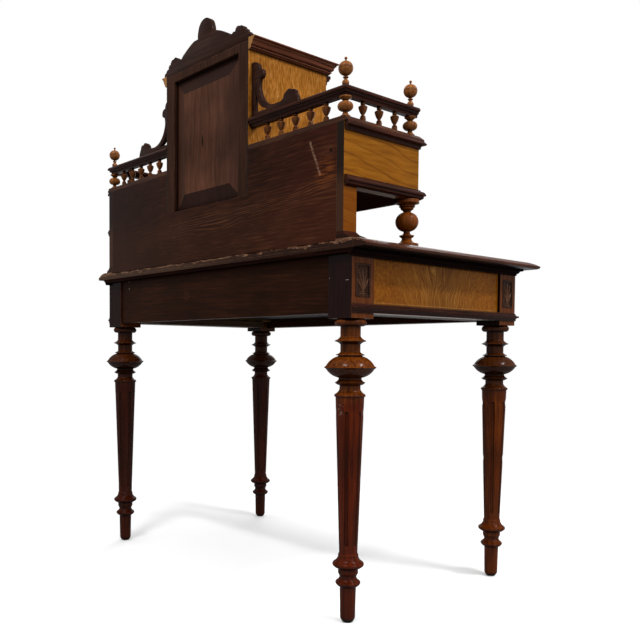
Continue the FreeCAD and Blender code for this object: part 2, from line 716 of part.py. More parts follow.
# Outside the board's edge: a lip below, and a broad slope up to the flat of the top.
out = "edge_moulding_width"
edge_profile = [
    ("0", "0"),
    (f"0.81 * {out}", "0"),
    (f"0.94 * {out}", "0.21 * edge_lip"),
    (out, "0.57 * edge_lip"),
    (out, "edge_lip"),
    (f"0.94 * {out}", "1.11 * edge_lip", (f"0.5 * {out}", "0.34 * edge_lip + 0.66 * top_thickness")),
    (f"0.06 * {out}", "0.97 * top_thickness"),
    ("0", "top_thickness"),
]
parts.append(group("top_edge_moulding", round_the_front(
    "top_edge", edge_profile, out, BOARD_X, BOARD_FRONT, BACK_EDGE, TOP_UNDER,
)))

out = "bed_projection"
tall = "bed_height"
bed_profile = [
    ("0", "0"),
    (f"0.16 * {out}", "0"),
    (f"0.16 * {out}", f"0.18 * {tall}", (f"0.27 * {out}", f"0.31 * {tall}")),
    (f"0.44 * {out}", f"0.38 * {tall}"),
    (f"0.5 * {out}", f"0.5 * {tall}", (f"0.62 * {out}", f"0.66 * {tall}")),
    (f"0.94 * {out}", f"0.72 * {tall}"),
    (out, f"0.72 * {tall}"),
    (out, tall),
    ("0", tall),
]
bed_strips = round_the_front(
    "bed_strip", bed_profile, out, POST_X, POST_FRONT, BACK_EDGE, f"{TOP_UNDER} - bed_height",
)
back_batten = slab(
    "back_batten",
    (f"-{POST_X}", POST_X),
    (POST_BACK, BACK_EDGE),
    (f"{TOP_UNDER} - batten_height", TOP_UNDER),
)
parts.append(group("bed_moulding", bed_strips + [back_batten]))


# ---- Desk drawer ----------------------------------------------------------------------------

drawer_x = f"({POST_INNER} - drawer_gap)"
drawer_front_back = f"({POST_FRONT} + drawer_front_thickness)"
drawer_end = f"({drawer_front_back} + drawer_depth)"


def drawer_front(label, x, y, z):
    """A veneered drawer front with its face edges eased."""
    body = board(label, "XZ", y[0], y[1], box_corners(x[0], x[1], z[0], z[1]))
    doc.recompute()
    face_y = number(y[0])
    edges = [
        f"Edge{index + 1}" for index, edge in enumerate(body.Shape.Edges)
        if all(abs(vertex.Y - face_y) < 1e-6 for vertex in edge.Vertexes)
    ]
    square = body.Tip
    eased = body.newObject("PartDesign::Chamfer", f"{label}_eased")
    eased.Base = (square, edges)
    bind(eased, "Size", "front_edge_chamfer")
    return body


parts.append(drawer_front(
    "drawer_front",
    (f"-{drawer_x}", drawer_x),
    (POST_FRONT, drawer_front_back),
    (f"{DRAWER_FLOOR} + drawer_gap", f"{DRAWER_CEILING} - drawer_gap"),
))
drawer_sides = []
for side_name, side in SIDES:
    drawer_sides.append(slab(
        f"drawer_side_{side_name}",
        mirrored(side, f"{drawer_x} - drawer_side_thickness", drawer_x),
        (drawer_front_back, drawer_end),
        (LEDGE_TOP, f"{LEDGE_TOP} + drawer_side_height"),
    ))
parts.append(group("drawer_sides", drawer_sides))
drawer_inner = f"({drawer_x} - drawer_side_thickness)"
drawer_bottom_z = f"({LEDGE_TOP} + drawer_bottom_rise)"
parts.append(slab(
    "drawer_bottom",
    (f"-{drawer_inner}", drawer_inner),
    (drawer_front_back, drawer_end),
    (drawer_bottom_z, f"{drawer_bottom_z} + drawer_bottom_thickness"),
))
parts.append(slab(
    "drawer_back",
    (f"-{drawer_inner}", drawer_inner),
    (f"{drawer_end} - drawer_side_thickness", drawer_end),
    (f"{drawer_bottom_z} + drawer_bottom_thickness", f"{LEDGE_TOP} + drawer_side_height - drawer_back_drop"),
))

pattern_knob = turned("knob", "knob")


def knob_at(name, x, y, z):
    """A turned knob standing out of a drawer front: its stem meets the front at y."""
    link = doc.addObject("App::Link", name)
    link.LinkedObject = pattern_knob
    link.Placement.Rotation = Rotation(Vector(1, 0, 0), 90)
    bind(link, "Placement.Base.x", x)
    bind(link, "Placement.Base.y", f"{y} - ({heights('knob')})")
    bind(link, "Placement.Base.z", z)
    return link


drawer_middle_z = f"({DRAWER_FLOOR} + {DRAWER_CEILING}) / 2"
parts.append(group("drawer_knobs", [
    knob_at("drawer_knob_left", "-drawer_knob_spacing / 2", POST_FRONT, drawer_middle_z),
    knob_at("drawer_knob_right", "drawer_knob_spacing / 2", POST_FRONT, drawer_middle_z),
]))


# ---- Case of the upper part -----------------------------------------------------------------

# Each side is sawn to an L: the wing's side above, and the slim rear pilaster that carries it.
plinth_top = "(table_height + plinth_height)"
pilaster_front = f"({UPPER_BACK} - pilaster_depth)"
for side_name, side in SIDES:
    near, far = mirrored(side, UPPER_INNER, UPPER_X)
    parts.append(board(f"upper_side_{side_name}", "YZ", near, far, [
        (WING_FRONT, WING_BOTTOM),
        (pilaster_front, WING_BOTTOM),
        (pilaster_front, plinth_top),
        (UPPER_BACK, plinth_top),
        (UPPER_BACK, WING_TOP_UNDER),
        (WING_FRONT, WING_TOP_UNDER),
    ]))

# The back is one wide board, cut out in the middle for the panelled back of the cabinet.
parts.append(board("back_board", "XZ", BACK_INNER, UPPER_BACK, [
    (f"-{UPPER_INNER}", BACK_FOOT),
    (UPPER_INNER, BACK_FOOT),
    (UPPER_INNER, WING_TOP_UNDER),
    (CABINET_X, WING_TOP_UNDER),
    (CABINET_X, PANEL_BOTTOM),
    (f"-{CABINET_X}", PANEL_BOTTOM),
    (f"-{CABINET_X}", WING_TOP_UNDER),
    (f"-{UPPER_INNER}", WING_TOP_UNDER),
]))

# A moulded plinth under each pilaster.
plinths = []
for side_name, side in SIDES:
    plinth = new_body(f"plinth_{side_name}")
    levels = (("0", "plinth_projection"), ("plinth_fillet", "plinth_projection"),
              ("0.6 * plinth_height", "0.35 * plinth_projection"), ("plinth_height", "0"))
    rings = []
    for index, (rise, project) in enumerate(levels):
        ring = new_sketch(plinth, f"level_{index}", "XY", rise)
        outer = f"{side} * ({UPPER_X} + {project})"
        inner = f"{side} * {UPPER_INNER}"
        front = f"{pilaster_front} - {project}"
        rectangle(ring, inner, outer, front, UPPER_BACK)
        rings.append(ring)
    loft = plinth.newObject("PartDesign::AdditiveLoft", f"plinth_{side_name}_loft")
    loft.Profile = rings[0]
    loft.Sections = rings[1:]
    loft.Ruled = True
    place(plinth, z="table_height")
    plinths.append(plinth)
parts.append(group("pilaster_plinths", plinths))

parts.append(group("wing_floors", [
    slab(
        f"wing_floor_{side_name}",
        mirrored(side, CABINET_X, UPPER_INNER),
        (WING_FRONT, BACK_INNER),
        (WING_BOTTOM, WING_FLOOR),
    )
    for side_name, side in SIDES
]))

# The cornice is glued to a rail over each drawer.
rails = [
    slab(
        f"wing_rail_{side_name}",
        mirrored(side, CABINET_X, UPPER_INNER),
        (WING_FRONT, f"{WING_FRONT} + wing_rail_depth"),
        (WING_CEILING, WING_TOP_UNDER),
    )
    for side_name, side in SIDES
]
parts.append(group("wing_rails", rails))

# The wings' top boards stand out over the cornices, and slope down to them on the outer side and
# the front.
LID_X = f"({UPPER_X} + wing_top_overhang)"
LID_FRONT = f"({WING_FRONT} - wing_top_overhang)"
wing_tops = []
for side_name, side in SIDES:
    near, far = mirrored(side, CABINET_X, LID_X)
    lid = board(f"wing_top_{side_name}", "XY", WING_TOP_UNDER, WING_TOP,
                box_corners(near, far, LID_FRONT, UPPER_BACK))
    doc.recompute()
    outer_x, front_y, top_z = number(f"{side} * {LID_X}"), number(LID_FRONT), number(WING_TOP)
    rims = []
    for index, edge in enumerate(lid.Shape.Edges):
        ends = edge.Vertexes
        on_top = all(abs(vertex.Z - top_z) < 1e-6 for vertex in ends)
        on_flank = all(abs(vertex.X - outer_x) < 1e-6 for vertex in ends)
        on_front = all(abs(vertex.Y - front_y) < 1e-6 for vertex in ends)
        if on_top and (on_flank or on_front):
            rims.append(f"Edge{index + 1}")
    square = lid.Tip
    slope = lid.newObject("PartDesign::Chamfer", f"wing_top_{side_name}_slope")
    slope.Base = (square, rims)
    bind(slope, "Size", "wing_top_chamfer")
    wing_tops.append(lid)
parts.append(group("wing_tops", wing_tops))

out = "wing_moulding_projection"
tall = "wing_floor_thickness"
base_profile = [
    ("0", "0"),
    (f"0.25 * {out}", "0"),
    (f"0.68 * {out}", f"0.17 * {tall}"),
    (f"0.72 * {out}", f"0.38 * {tall}", (f"0.93 * {out}", f"0.42 * {tall}")),
    (out, f"0.52 * {tall}"),
    (f"0.95 * {out}", f"0.6 * {tall}", (f"0.62 * {out}", f"0.83 * {tall}")),
    (f"0.3 * {out}", f"0.9 * {tall}"),
    (f"0.3 * {out}", tall),
    ("0", tall),
]
tall = "(wing_crown_height - wing_top_thickness)"
crown_profile = [
    ("0", "0"),
    (f"0.25 * {out}", "0"),
    (f"0.25 * {out}", f"0.18 * {tall}", (f"0.4 * {out}", f"0.38 * {tall}")),
    (f"0.85 * {out}", f"0.45 * {tall}"),
    (out, f"0.52 * {tall}"),
    (out, f"0.64 * {tall}"),
    ("wing_top_overhang", f"0.94 * {tall}"),
    ("wing_top_overhang", tall),
    ("0", tall),
]
moulding_back = f"{UPPER_BACK} - moulding_end_gap"
for label, profile, level in (("wing_base_mouldings", base_profile, WING_BOTTOM),
                              ("wing_cornices", crown_profile, WING_CEILING)):
    strips = []
    for side_name, side in SIDES:
        strips += round_a_wing(f"{label}_{side_name}", side, profile, out, moulding_back, level)
    parts.append(group(label, strips))


# ---- Ball columns ---------------------------------------------------------------------------

for side_name, side in SIDES:
    column = turned(f"ball_column_{side_name}", "column", f"niche_height - ({heights('column')})")
    place(column, f"{side} * ({UPPER_X} - column_side_inset)", f"{WING_FRONT} + column_front_inset",
          WING_BOTTOM)
    parts.append(column)


# ---- Drawers of the wings -------------------------------------------------------------------

wing_front_back = f"({WING_FRONT} + wing_front_thickness)"
wing_drawer_end = f"({wing_front_back} + wing_drawer_depth)"
wing_ledge = f"({WING_FLOOR} + drawer_running_gap)"
wing_bottom_z = f"({wing_ledge} + wing_drawer_bottom_rise)"
for side_name, side in SIDES:
    near, far = f"{CABINET_X} + drawer_gap", f"{UPPER_INNER} - drawer_gap"
    parts.append(drawer_front(
        f"wing_drawer_{side_name}_front",
        mirrored(side, near, far),
        (WING_FRONT, wing_front_back),
        (f"{WING_FLOOR} + drawer_gap", f"{WING_CEILING} - drawer_gap"),
    ))
    inner_near, inner_far = f"{near} + wing_drawer_side_thickness", f"{far} - wing_drawer_side_thickness"
    cheeks = [
        slab(f"wing_drawer_{side_name}_{name}", mirrored(side, *span), (wing_front_back, wing_drawer_end),
             (wing_ledge, f"{wing_ledge} + wing_drawer_side_height"))
        for name, span in (("inner_side", (near, inner_near)), ("outer_side", (inner_far, far)))
    ]
    floor = slab(
        f"wing_drawer_{side_name}_floor",
        mirrored(side, inner_near, inner_far),
        (wing_front_back, wing_drawer_end),
        (wing_bottom_z, f"{wing_bottom_z} + wing_drawer_bottom_thickness"),
    )
    end = slab(
        f"wing_drawer_{side_name}_end",
        mirrored(side, inner_near, inner_far),
        (f"{wing_drawer_end} - wing_drawer_side_thickness", wing_drawer_end),
        (f"{wing_bottom_z} + wing_drawer_bottom_thickness",
         f"{wing_ledge} + wing_drawer_side_height - wing_drawer_back_drop"),
    )
    parts.append(group(f"wing_drawer_{side_name}_box", cheeks + [floor, end]))
    middle_x = f"{side} * ({CABINET_X} + {UPPER_INNER}) / 2"
    parts.append(group(f"wing_drawer_{side_name}_knob", [
        knob_at(f"wing_knob_{side_name}", middle_x, WING_FRONT, f"({WING_FLOOR} + {WING_CEILING}) / 2"),
    ]))


# ---- Cabinet --------------------------------------------------------------------------------

# Behind, each side has a thin lip that covers the edge of the frame at the back.
frame_edge = f"({CABINET_X} - cabinet_side_lip)"
for side_name, side in SIDES:
    near, far = mirrored(side, CABINET_INNER, CABINET_X)
    cheek = board(f"cabinet_side_{side_name}", "XY", "table_height", CABINET_TOP,
                  box_corners(near, far, CABINET_FRONT, BACK_INNER))
    lip = new_sketch(cheek, "lip", "XY", PANEL_BOTTOM)
    near, far = mirrored(side, frame_edge, CABINET_X)
    rectangle(lip, near, far, BACK_INNER, UPPER_BACK)
    pad(cheek, lip, f"{FRAME_TOP} - {PANEL_BOTTOM}")
    parts.append(cheek)
parts.append(slab(
    "cabinet_floor",
    (f"-{CABINET_INNER}", CABINET_INNER),
    (CABINET_FRONT, CABINET_BACK),
    ("table_height", CABINET_FLOOR),
))
parts.append(slab(
    "cabinet_top",
    (f"-{CABINET_INNER}", CABINET_INNER),
    (CABINET_FRONT, BACK_INNER),
    (HEAD_TOP, CABINET_TOP),
))
parts.append(slab(
    "cabinet_shelf",
    (f"-{CABINET_INNER}", CABINET_INNER),
    (f"{CABINET_FRONT} + shelf_set_back", CABINET_BACK),
    (f"{CABINET_FLOOR} + shelf_height", f"{CABINET_FLOOR} + shelf_height + shelf_thickness"),
))

# The head rail over the door carries a stepped moulding whose ends show past the sides.
reach = "head_moulding_projection"
moulded = f"{CABINET_FRONT} - {reach}"
drop = f"({CORNICE_BOTTOM} - {HEAD_BOTTOM})"
head_rail = board("head_board", "YZ", f"-{CABINET_INNER}", CABINET_INNER, [
    (CABINET_FRONT, HEAD_BOTTOM),
    (f"{CABINET_FRONT} + head_rail_thickness", HEAD_BOTTOM),
    (f"{CABINET_FRONT} + head_rail_thickness", HEAD_TOP),
    (CABINET_FRONT, HEAD_TOP),
])
head_moulding = board("head_moulding", "YZ", f"-{CABINET_X}", CABINET_X, [
    (CABINET_FRONT, HEAD_BOTTOM),
    (CABINET_FRONT, CORNICE_BOTTOM),
    (moulded, CORNICE_BOTTOM),
    (moulded, f"{CORNICE_BOTTOM} - 0.25 * {drop}"),
    (f"{CABINET_FRONT} - 0.8 * {reach}", f"{CORNICE_BOTTOM} - 0.32 * {drop}",
     (f"{CABINET_FRONT} - 0.63 * {reach}", f"{CORNICE_BOTTOM} - 0.5 * {drop}")),
    (f"{CABINET_FRONT} - 0.27 * {reach}", f"{CORNICE_BOTTOM} - 0.6 * {drop}"),
    (f"{CABINET_FRONT} - 0.17 * {reach}", f"{HEAD_BOTTOM} + 0.12 * {drop}"),
])
parts.append(group("head_rail", [head_rail, head_moulding]))

stiles = [
    slab(
        f"back_stile_{side_name}",
        mirrored(side, PANEL_X, frame_edge),
        (BACK_INNER, UPPER_BACK),
        (PANEL_BOTTOM, FRAME_TOP),
    )
    for side_name, side in SIDES
]
back_rail = slab(
    "back_frame_rail",
    (f"-{PANEL_X}", PANEL_X),
    (BACK_INNER, UPPER_BACK),
    (PANEL_TOP, FRAME_TOP),
)
parts.append(group("back_frame", stiles + [back_rail]))


def fielded_panel(label, half, bottom, top, tongue, slab_span, face, bevel, outward):
    """A raised panel: a thin edge held behind its frame, and bevels up to a proud field.

    `slab_span` is the thin edge's near and far side in Y, and `face` the plane of the field.
    """
    body = board(label, "XZ", slab_span[0], slab_span[1], box_corners(
        f"-({half} + {tongue})", f"{half} + {tongue}", f"{bottom} - {tongue}", f"{top} + {tongue}",
    ))
    root = slab_span[1] if outward > 0 else slab_span[0]
    fit = "panel_fit"
    low = new_sketch(body, "bevel_foot", "XZ", f"-({root})")
    rectangle(low, f"-({half} - {fit})", f"{half} - {fit}", f"{bottom} + {fit}", f"{top} - {fit}")
    shoulder = new_sketch(body, "shoulder", "XZ", f"-({root} + {outward} * panel_shoulder_rise)")
    run = f"({fit} + panel_shoulder_run)"
    rectangle(shoulder, f"-({half} - {run})", f"{half} - {run}", f"{bottom} + {run}", f"{top} - {run}")
    high = new_sketch(body, "field", "XZ", f"-({face})")
    rectangle(high, f"-({half} - {bevel})", f"{half} - {bevel}", f"{bottom} + {bevel}", f"{top} - {bevel}")
    loft = body.newObject("PartDesign::AdditiveLoft", f"{label}_bevels")
    loft.Profile = low
    loft.Sections = [shoulder, high]
    loft.Ruled = True
    return body


parts.append(fielded_panel(
    "back_panel", PANEL_X, PANEL_BOTTOM, PANEL_TOP, "panel_tongue",
    (CABINET_BACK, BACK_INNER), f"{BACK_INNER} + panel_relief", "panel_bevel", 1,
))

out = "cornice_projection"
tall = "cornice_height"
cornice_profile = [
    ("0", "0"),
    (f"0.28 * {out}", "0"),
    (f"0.28 * {out}", f"0.1 * {tall}", (f"0.42 * {out}", f"0.17 * {tall}")),
    (f"0.33 * {out}", f"0.26 * {tall}"),
    (f"0.45 * {out}", f"0.29 * {tall}"),
    (f"0.56 * {out}", f"0.37 * {tall}"),
    (f"0.66 * {out}", f"0.66 * {tall}"),
    (f"0.77 * {out}", f"0.7 * {tall}", (f"0.81 * {out}", f"0.82 * {tall}")),
    (f"0.93 * {out}", f"0.87 * {tall}"),
    (out, f"0.91 * {tall}"),
    (out, tall),
    ("0", tall),
]
parts.append(group("cabinet_cornice", round_the_front(
    "cornice_strip", cornice_profile, out, CABINET_X, CABINET_FRONT, UPPER_BACK, CORNICE_BOTTOM,
)))


# ---- Crest ----------------------------------------------------------------------------------


def crest_half(side):
    """The right or left half of the crest's outline, from its foot to the top of the lobe.

    Over the cornice, which its lobed ears rest on, it is drawn in shares of half its width and of
    its height.
    """

    def spot(x, z):
        return f"{side} * {x} * ({CABINET_X} + crest_overhang)", f"{FRAME_TOP} + {z} * crest_height"

    return [
        (f"{side} * {CABINET_X}", FRAME_TOP),
        (f"{side} * {CABINET_X}", CABINET_TOP),
        (spot(1, 0)[0], CABINET_TOP, spot(0.998, 0.1)),
        (*spot(0.956, 0.143), spot(0.932, 0.2)),
        (*spot(0.892, 0.209), spot(0.884, 0.283)),
        (*spot(0.846, 0.301), spot(0.824, 0.376)),
        (*spot(0.765, 0.4), spot(0.72, 0.425)),
        (*spot(0.68, 0.388),),
        (*spot(0.666, 0.332),),
        (*spot(0.625, 0.34), spot(0.59, 0.31)),
        (*spot(0.555, 0.321), spot(0.523, 0.372)),
        (*spot(0.485, 0.406), spot(0.372, 0.508)),
        (*spot(0.256, 0.585),),
        (*spot(0.166, 0.587), spot(0.166, 0.69)),
        (*spot(0.149, 0.801), spot(0.09, 0.952)),
        spot(0, 1),
    ]


def there_and_back(right, left):
    """One closed outline from two mirrored halves: up the right one and down the left one."""
    down = []
    for index in range(len(left) - 2, -1, -1):
        x, y = left[index + 1][:2]
        way = left[index][2:]
        down.append((x, y, *way))
    return right[:-1] + down + [left[0][:2]]


parts.append(board("crest", "XZ", BACK_INNER, UPPER_BACK, there_and_back(crest_half(1), crest_half(-1))))


# ---- Gallery --------------------------------------------------------------------------------

half, tall = "gallery_rail_half", "gallery_rail_height"
half_profile = [
    (f"0.45 * {half}", "0"),
    (f"0.45 * {half}", f"0.14 * {tall}", (f"0.52 * {half}", f"0.3 * {tall}")),
    (f"0.72 * {half}", f"0.36 * {tall}"),
    (f"0.72 * {half}", f"0.46 * {tall}", (f"0.8 * {half}", f"0.58 * {tall}")),
    (half, f"0.62 * {tall}"),
    (half, f"0.85 * {tall}"),
    (f"0.86 * {half}", tall),
]
other_half = []
for index in range(len(half_profile) - 1, -1, -1):
    x, y = half_profile[index][:2]
    way = half_profile[index - 1][2:] if index else ()
    other_half.append((f"-({x})", y, *[(f"-({px})", py) for px, py in way]))
rail_profile = half_profile + other_half
for side_name, side in SIDES:
    label = f"gallery_rail_{side_name}"
    flank_length = f"{GALLERY_BACK} - {GALLERY_FRONT} + gallery_rail_end"
    back_length = f"{GALLERY_X} - {CABINET_X}"
    if side < 0:
        flank = strip(f"{label}_flank", rail_profile, half, flank_length, mitred_start=True)
        place(flank, f"-{GALLERY_X}", GALLERY_BACK, RAIL_BOTTOM, 180)
        back = strip(f"{label}_back", rail_profile, half, back_length, mitred_end=True)
        place(back, f"-{CABINET_X}", GALLERY_BACK, RAIL_BOTTOM, 90)
    else:
        flank = strip(f"{label}_flank", rail_profile, half, flank_length, mitred_end=True)
        place(flank, GALLERY_X, f"{GALLERY_FRONT} - gallery_rail_end", RAIL_BOTTOM, 0)
        back = strip(f"{label}_back", rail_profile, half, back_length, mitred_start=True)
        place(back, GALLERY_X, GALLERY_BACK, RAIL_BOTTOM, 90)
    parts.append(group(label, [flank, back]))

pattern_spindle = turned("spindle", "spindle", f"gallery_height - ({heights('spindle')})")
pattern_post = turned("gallery_post", "gallery_post", f"gallery_height - ({heights('gallery_post')})")
pattern_finial = turned("finial", "finial", f"finial_height - ({heights('finial')})")
# The spindles of a run stand evenly between two end gaps: one at the corner post, and one at the
# cabinet's side or at the front post.
BACK_SPINDLES = 5
SIDE_SPINDLES = 3
back_pitch = f"({GALLERY_X} - {CABINET_X} - 2 * back_spindle_gap) / {BACK_SPINDLES - 1}"
side_pitch = f"({GALLERY_BACK} - {GALLERY_FRONT} - 2 * side_spindle_gap) / {SIDE_SPINDLES - 1}"
spindles, posts = [], []
for side_name, side in SIDES:
    for count in range(BACK_SPINDLES):
        spindles.append(copy_of(
            pattern_spindle, f"spindle_{side_name}_back_{count}",
            f"{side} * ({GALLERY_X} - back_spindle_gap - {count} * {back_pitch})", GALLERY_BACK, RAIL_BOTTOM,
        ))
    for count in range(SIDE_SPINDLES):
        spindles.append(copy_of(
            pattern_spindle, f"spindle_{side_name}_flank_{count}",
            f"{side} * {GALLERY_X}", f"{GALLERY_BACK} - side_spindle_gap - {count} * {side_pitch}", RAIL_BOTTOM,
        ))
    for end_name, y in (("back", GALLERY_BACK), ("front", GALLERY_FRONT)):
        posts.append(copy_of(
            pattern_post, f"gallery_post_{side_name}_{end_name}", f"{side} * {GALLERY_X}", y, RAIL_BOTTOM,
        ))
        posts.append(copy_of(
            pattern_finial, f"finial_{side_name}_{end_name}", f"{side} * {GALLERY_X}", y,
            f"{RAIL_TOP} + finial_height",
        ))
parts.append(group("gallery_spindles", spindles))
parts.append(group("gallery_posts", posts))


# ---- Scroll brackets ------------------------------------------------------------------------


def scroll_bracket(label, side):
    """A fretwork scroll between the cabinet's side and the top of the gallery rail.

    It fills the space under the cornice. Its outline runs out from the cabinet's side and up from
    the rail, in shares of its length and height.
    """
    length, height = "bracket_length", f"({CORNICE_BOTTOM} - bracket_top_gap - {RAIL_TOP})"

    def spot(x, z):
        return f"{side} * ({CABINET_X} + {x} * {length})", f"{RAIL_TOP} + {z} * {height}"

    far = f"({UPPER_BACK} - bracket_back_inset)"
    body = board(label, "XZ", f"{far} - bracket_thickness", far, [
        (*spot(0, 0),),
        (*spot(1, 0), spot(0.99, 0.1)),
        (*spot(0.945, 0.2), spot(0.92, 0.265)),
        (*spot(0.865, 0.262), spot(0.83, 0.3)),
        (*spot(0.77, 0.285), spot(0.725, 0.25)),
        (*spot(0.69, 0.18), spot(0.64, 0.145)),
        (*spot(0.57, 0.142), spot(0.42, 0.155)),
        (*spot(0.31, 0.225), spot(0.235, 0.32)),
        (*spot(0.19, 0.43), spot(0.165, 0.55)),
        (*spot(0.185, 0.68), spot(0.235, 0.7)),
        (*spot(0.25, 0.765), spot(0.235, 0.82)),
        (*spot(0.165, 0.855),),
        (*spot(0.16, 0.9), spot(0.13, 0.96)),
        (*spot(0, 1),),
    ])
    # The three-cornered opening between the bow and the corner.
    opening = new_sketch(body, "opening", "XZ")
    outline(opening, [
        spot(0.075, 0.1),
        (*spot(0.37, 0.1), spot(0.22, 0.17)),
        (*spot(0.13, 0.31), spot(0.095, 0.44)),
        spot(0.075, 0.58),
    ])
    pocket(body, opening)
    return body


for side_name, side in SIDES:
    parts.append(scroll_bracket(f"scroll_bracket_{side_name}", side))


# ---- Cabinet door ---------------------------------------------------------------------------

opening_x = f"({DOOR_X} - door_stile_width)"
opening_bottom = f"({DOOR_BOTTOM} + door_stile_width)"
opening_top = f"({DOOR_TOP} - door_stile_width)"
panel_seat = f"({CABINET_FRONT} + door_panel_front + door_panel_slab)"
key_x = f"({DOOR_X} - key_inset)"
key_z = f"(({DOOR_BOTTOM} + {DOOR_TOP}) / 2)"

door_frame = board("door_frame", "XZ", CABINET_FRONT, DOOR_BACK,
                   box_corners(f"-{DOOR_X}", DOOR_X, DOOR_BOTTOM, DOOR_TOP))
cut_out(door_frame, "opening", "XZ", CABINET_FRONT, DOOR_BACK,
        box_corners(f"-{opening_x}", opening_x, opening_bottom, opening_top))
tongue = "door_panel_tongue"
cut_out(door_frame, "rebate", "XZ", panel_seat, DOOR_BACK, box_corners(
    f"-({opening_x} + {tongue})", f"{opening_x} + {tongue}",
    f"{opening_bottom} - {tongue}", f"{opening_top} + {tongue}",
))
key_hole = new_sketch(door_frame, "key_hole", "XZ")
circle(key_hole, key_x, key_z, "key_radius + key_clearance")
pocket(door_frame, key_hole)
parts.append(door_frame)
parts.append(fielded_panel(
    "door_panel", opening_x, opening_bottom, opening_top, "(door_panel_tongue - panel_fit)",
    (panel_seat, f"{panel_seat} + door_panel_slab"), f"{CABINET_FRONT} + door_panel_front",
    "door_panel_bevel", -1,
))

hinge_x = f"-({CABINET_INNER} - door_gap / 2)"
hinge_y = f"({CABINET_FRONT} - hinge_stand_off)"


def hinge_half(label, fixed):
    """Half of a brass flag hinge: its leaf, and the half of the knuckle that belongs to it.

    The pin's axis is the body's own upright axis. The fixed half, which is the lower one, has the
    pin, and the door's half turns on it.
    """
    body = new_body(label)
    half_height = "((hinge_height - hinge_joint_gap) / 2)"
    foot = "0" if fixed else f"({half_height} + hinge_joint_gap)"
    leaf = new_sketch(body, "leaf", "XY", foot)
    inner, outer = ("-hinge_leaf_width", "0") if fixed else ("0", "hinge_leaf_width")
    rectangle(leaf, inner, outer, "hinge_stand_off - hinge_leaf", "hinge_stand_off")
    pad(body, leaf, half_height)
    knuckle = new_sketch(body, "knuckle", "XY", foot)
    circle(knuckle, "0", "0", "hinge_stand_off - hinge_joint_gap")
    pad(body, knuckle, half_height)
    if fixed:
        pin = new_sketch(body, "pin", "XY")
        circle(pin, "0", "0", "hinge_pin_radius")
        pad(body, pin, "hinge_height")
    else:
        bore = new_sketch(body, "bore", "XY")
        circle(bore, "0", "0", "hinge_pin_radius + hinge_clearance")
        pocket(body, bore)
    return body


for label, fixed in (("hinge_pin_halves", True), ("hinge_door_halves", False)):
    pattern_half = hinge_half(f"{label}_pattern", fixed)
    parts.append(group(label, [
        copy_of(pattern_half, f"{label}_lower", hinge_x, hinge_y, f"{DOOR_BOTTOM} + hinge_inset"),
        copy_of(pattern_half, f"{label}_upper", hinge_x, hinge_y,
                f"{DOOR_TOP} - hinge_inset - hinge_height"),
    ]))

parts.append(slab(
    "door_lock",
    (f"{DOOR_X} - lock_width", f"{DOOR_X} - lock_edge_gap"),
    (DOOR_BACK, f"{DOOR_BACK} + lock_thickness"),
    (f"{key_z} - lock_height / 2", f"{key_z} + lock_height / 2"),
))

# The key: a round shank that ends inside the door, and a flat ring-shaped bow to pull the door by.
key = new_body("door_key")
shank = new_sketch(key, "shank", "XZ", "key_shank_end - door_thickness")
circle(shank, "0", "0", "key_radius")
pad(key, shank, "door_thickness - key_shank_end + key_reach")
bow = new_sketch(key, "bow", "YZ", "-key_bow_thickness / 2")
bow_centre = "-(key_reach + key_bow_radius - key_bow_width / 2)"
circle(bow, bow_centre, "0", "key_bow_radius")
circle(bow, bow_centre, "0", "key_bow_radius - key_bow_width")
pad(key, bow, "key_bow_thickness")
place(key, key_x, CABINET_FRONT, key_z)
parts.append(key)


# ---- Build, test and write ------------------------------------------------------------------

doc.recompute()

faults = [thing.Name for thing in doc.Objects if {"Invalid", "Error"} & set(thing.State)]
for part in parts:
    if part.Shape.isNull() or not part.Shape.isValid() or not part.Shape.Solids:
        faults.append(part.Label)
if faults:
    raise RuntimeError("These pieces could not be built: " + ", ".join(faults))

os.makedirs("parts", exist_ok=True)
for part in parts:
    part.Shape.exportStep(os.path.join("parts", f"{part.Label}.step"))
print(f"{len(parts)} pieces written")
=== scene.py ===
import math

import bpy
from mathutils import Matrix, Vector


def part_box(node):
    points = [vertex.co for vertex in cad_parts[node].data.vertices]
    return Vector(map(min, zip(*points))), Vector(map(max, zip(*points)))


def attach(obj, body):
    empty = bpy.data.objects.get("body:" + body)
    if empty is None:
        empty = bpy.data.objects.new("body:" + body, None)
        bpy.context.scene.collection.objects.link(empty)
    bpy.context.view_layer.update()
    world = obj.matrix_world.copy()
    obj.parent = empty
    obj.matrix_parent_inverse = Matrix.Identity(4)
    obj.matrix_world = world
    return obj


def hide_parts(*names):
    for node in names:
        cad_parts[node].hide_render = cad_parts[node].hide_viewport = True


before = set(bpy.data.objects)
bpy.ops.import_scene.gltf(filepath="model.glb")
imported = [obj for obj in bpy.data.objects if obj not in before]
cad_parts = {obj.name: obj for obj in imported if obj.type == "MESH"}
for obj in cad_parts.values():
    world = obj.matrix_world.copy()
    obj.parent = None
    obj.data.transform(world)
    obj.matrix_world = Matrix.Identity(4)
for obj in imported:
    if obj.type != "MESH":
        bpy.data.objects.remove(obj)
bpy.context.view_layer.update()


# ---- Legs ----
# Four legs, each turned from one length of walnut that stays square where the aprons join it.
# They are French polished red-brown. Polish and dust, with a painted shade, darken the flutes and
# quirks nearly black, the undersides of the turnings carry a painted shade, and the rear faces of
# the back posts, which stood to the wall, are stained black.


def linear(code):
    """An sRGB hex colour as the linear values that a shader takes."""
    channels = [int(code[place:place + 2], 16) / 255 for place in (0, 2, 4)]
    return [c / 12.92 if c <= 0.04045 else ((c + 0.055) / 1.055) ** 2.4 for c in channels] + [1.0]


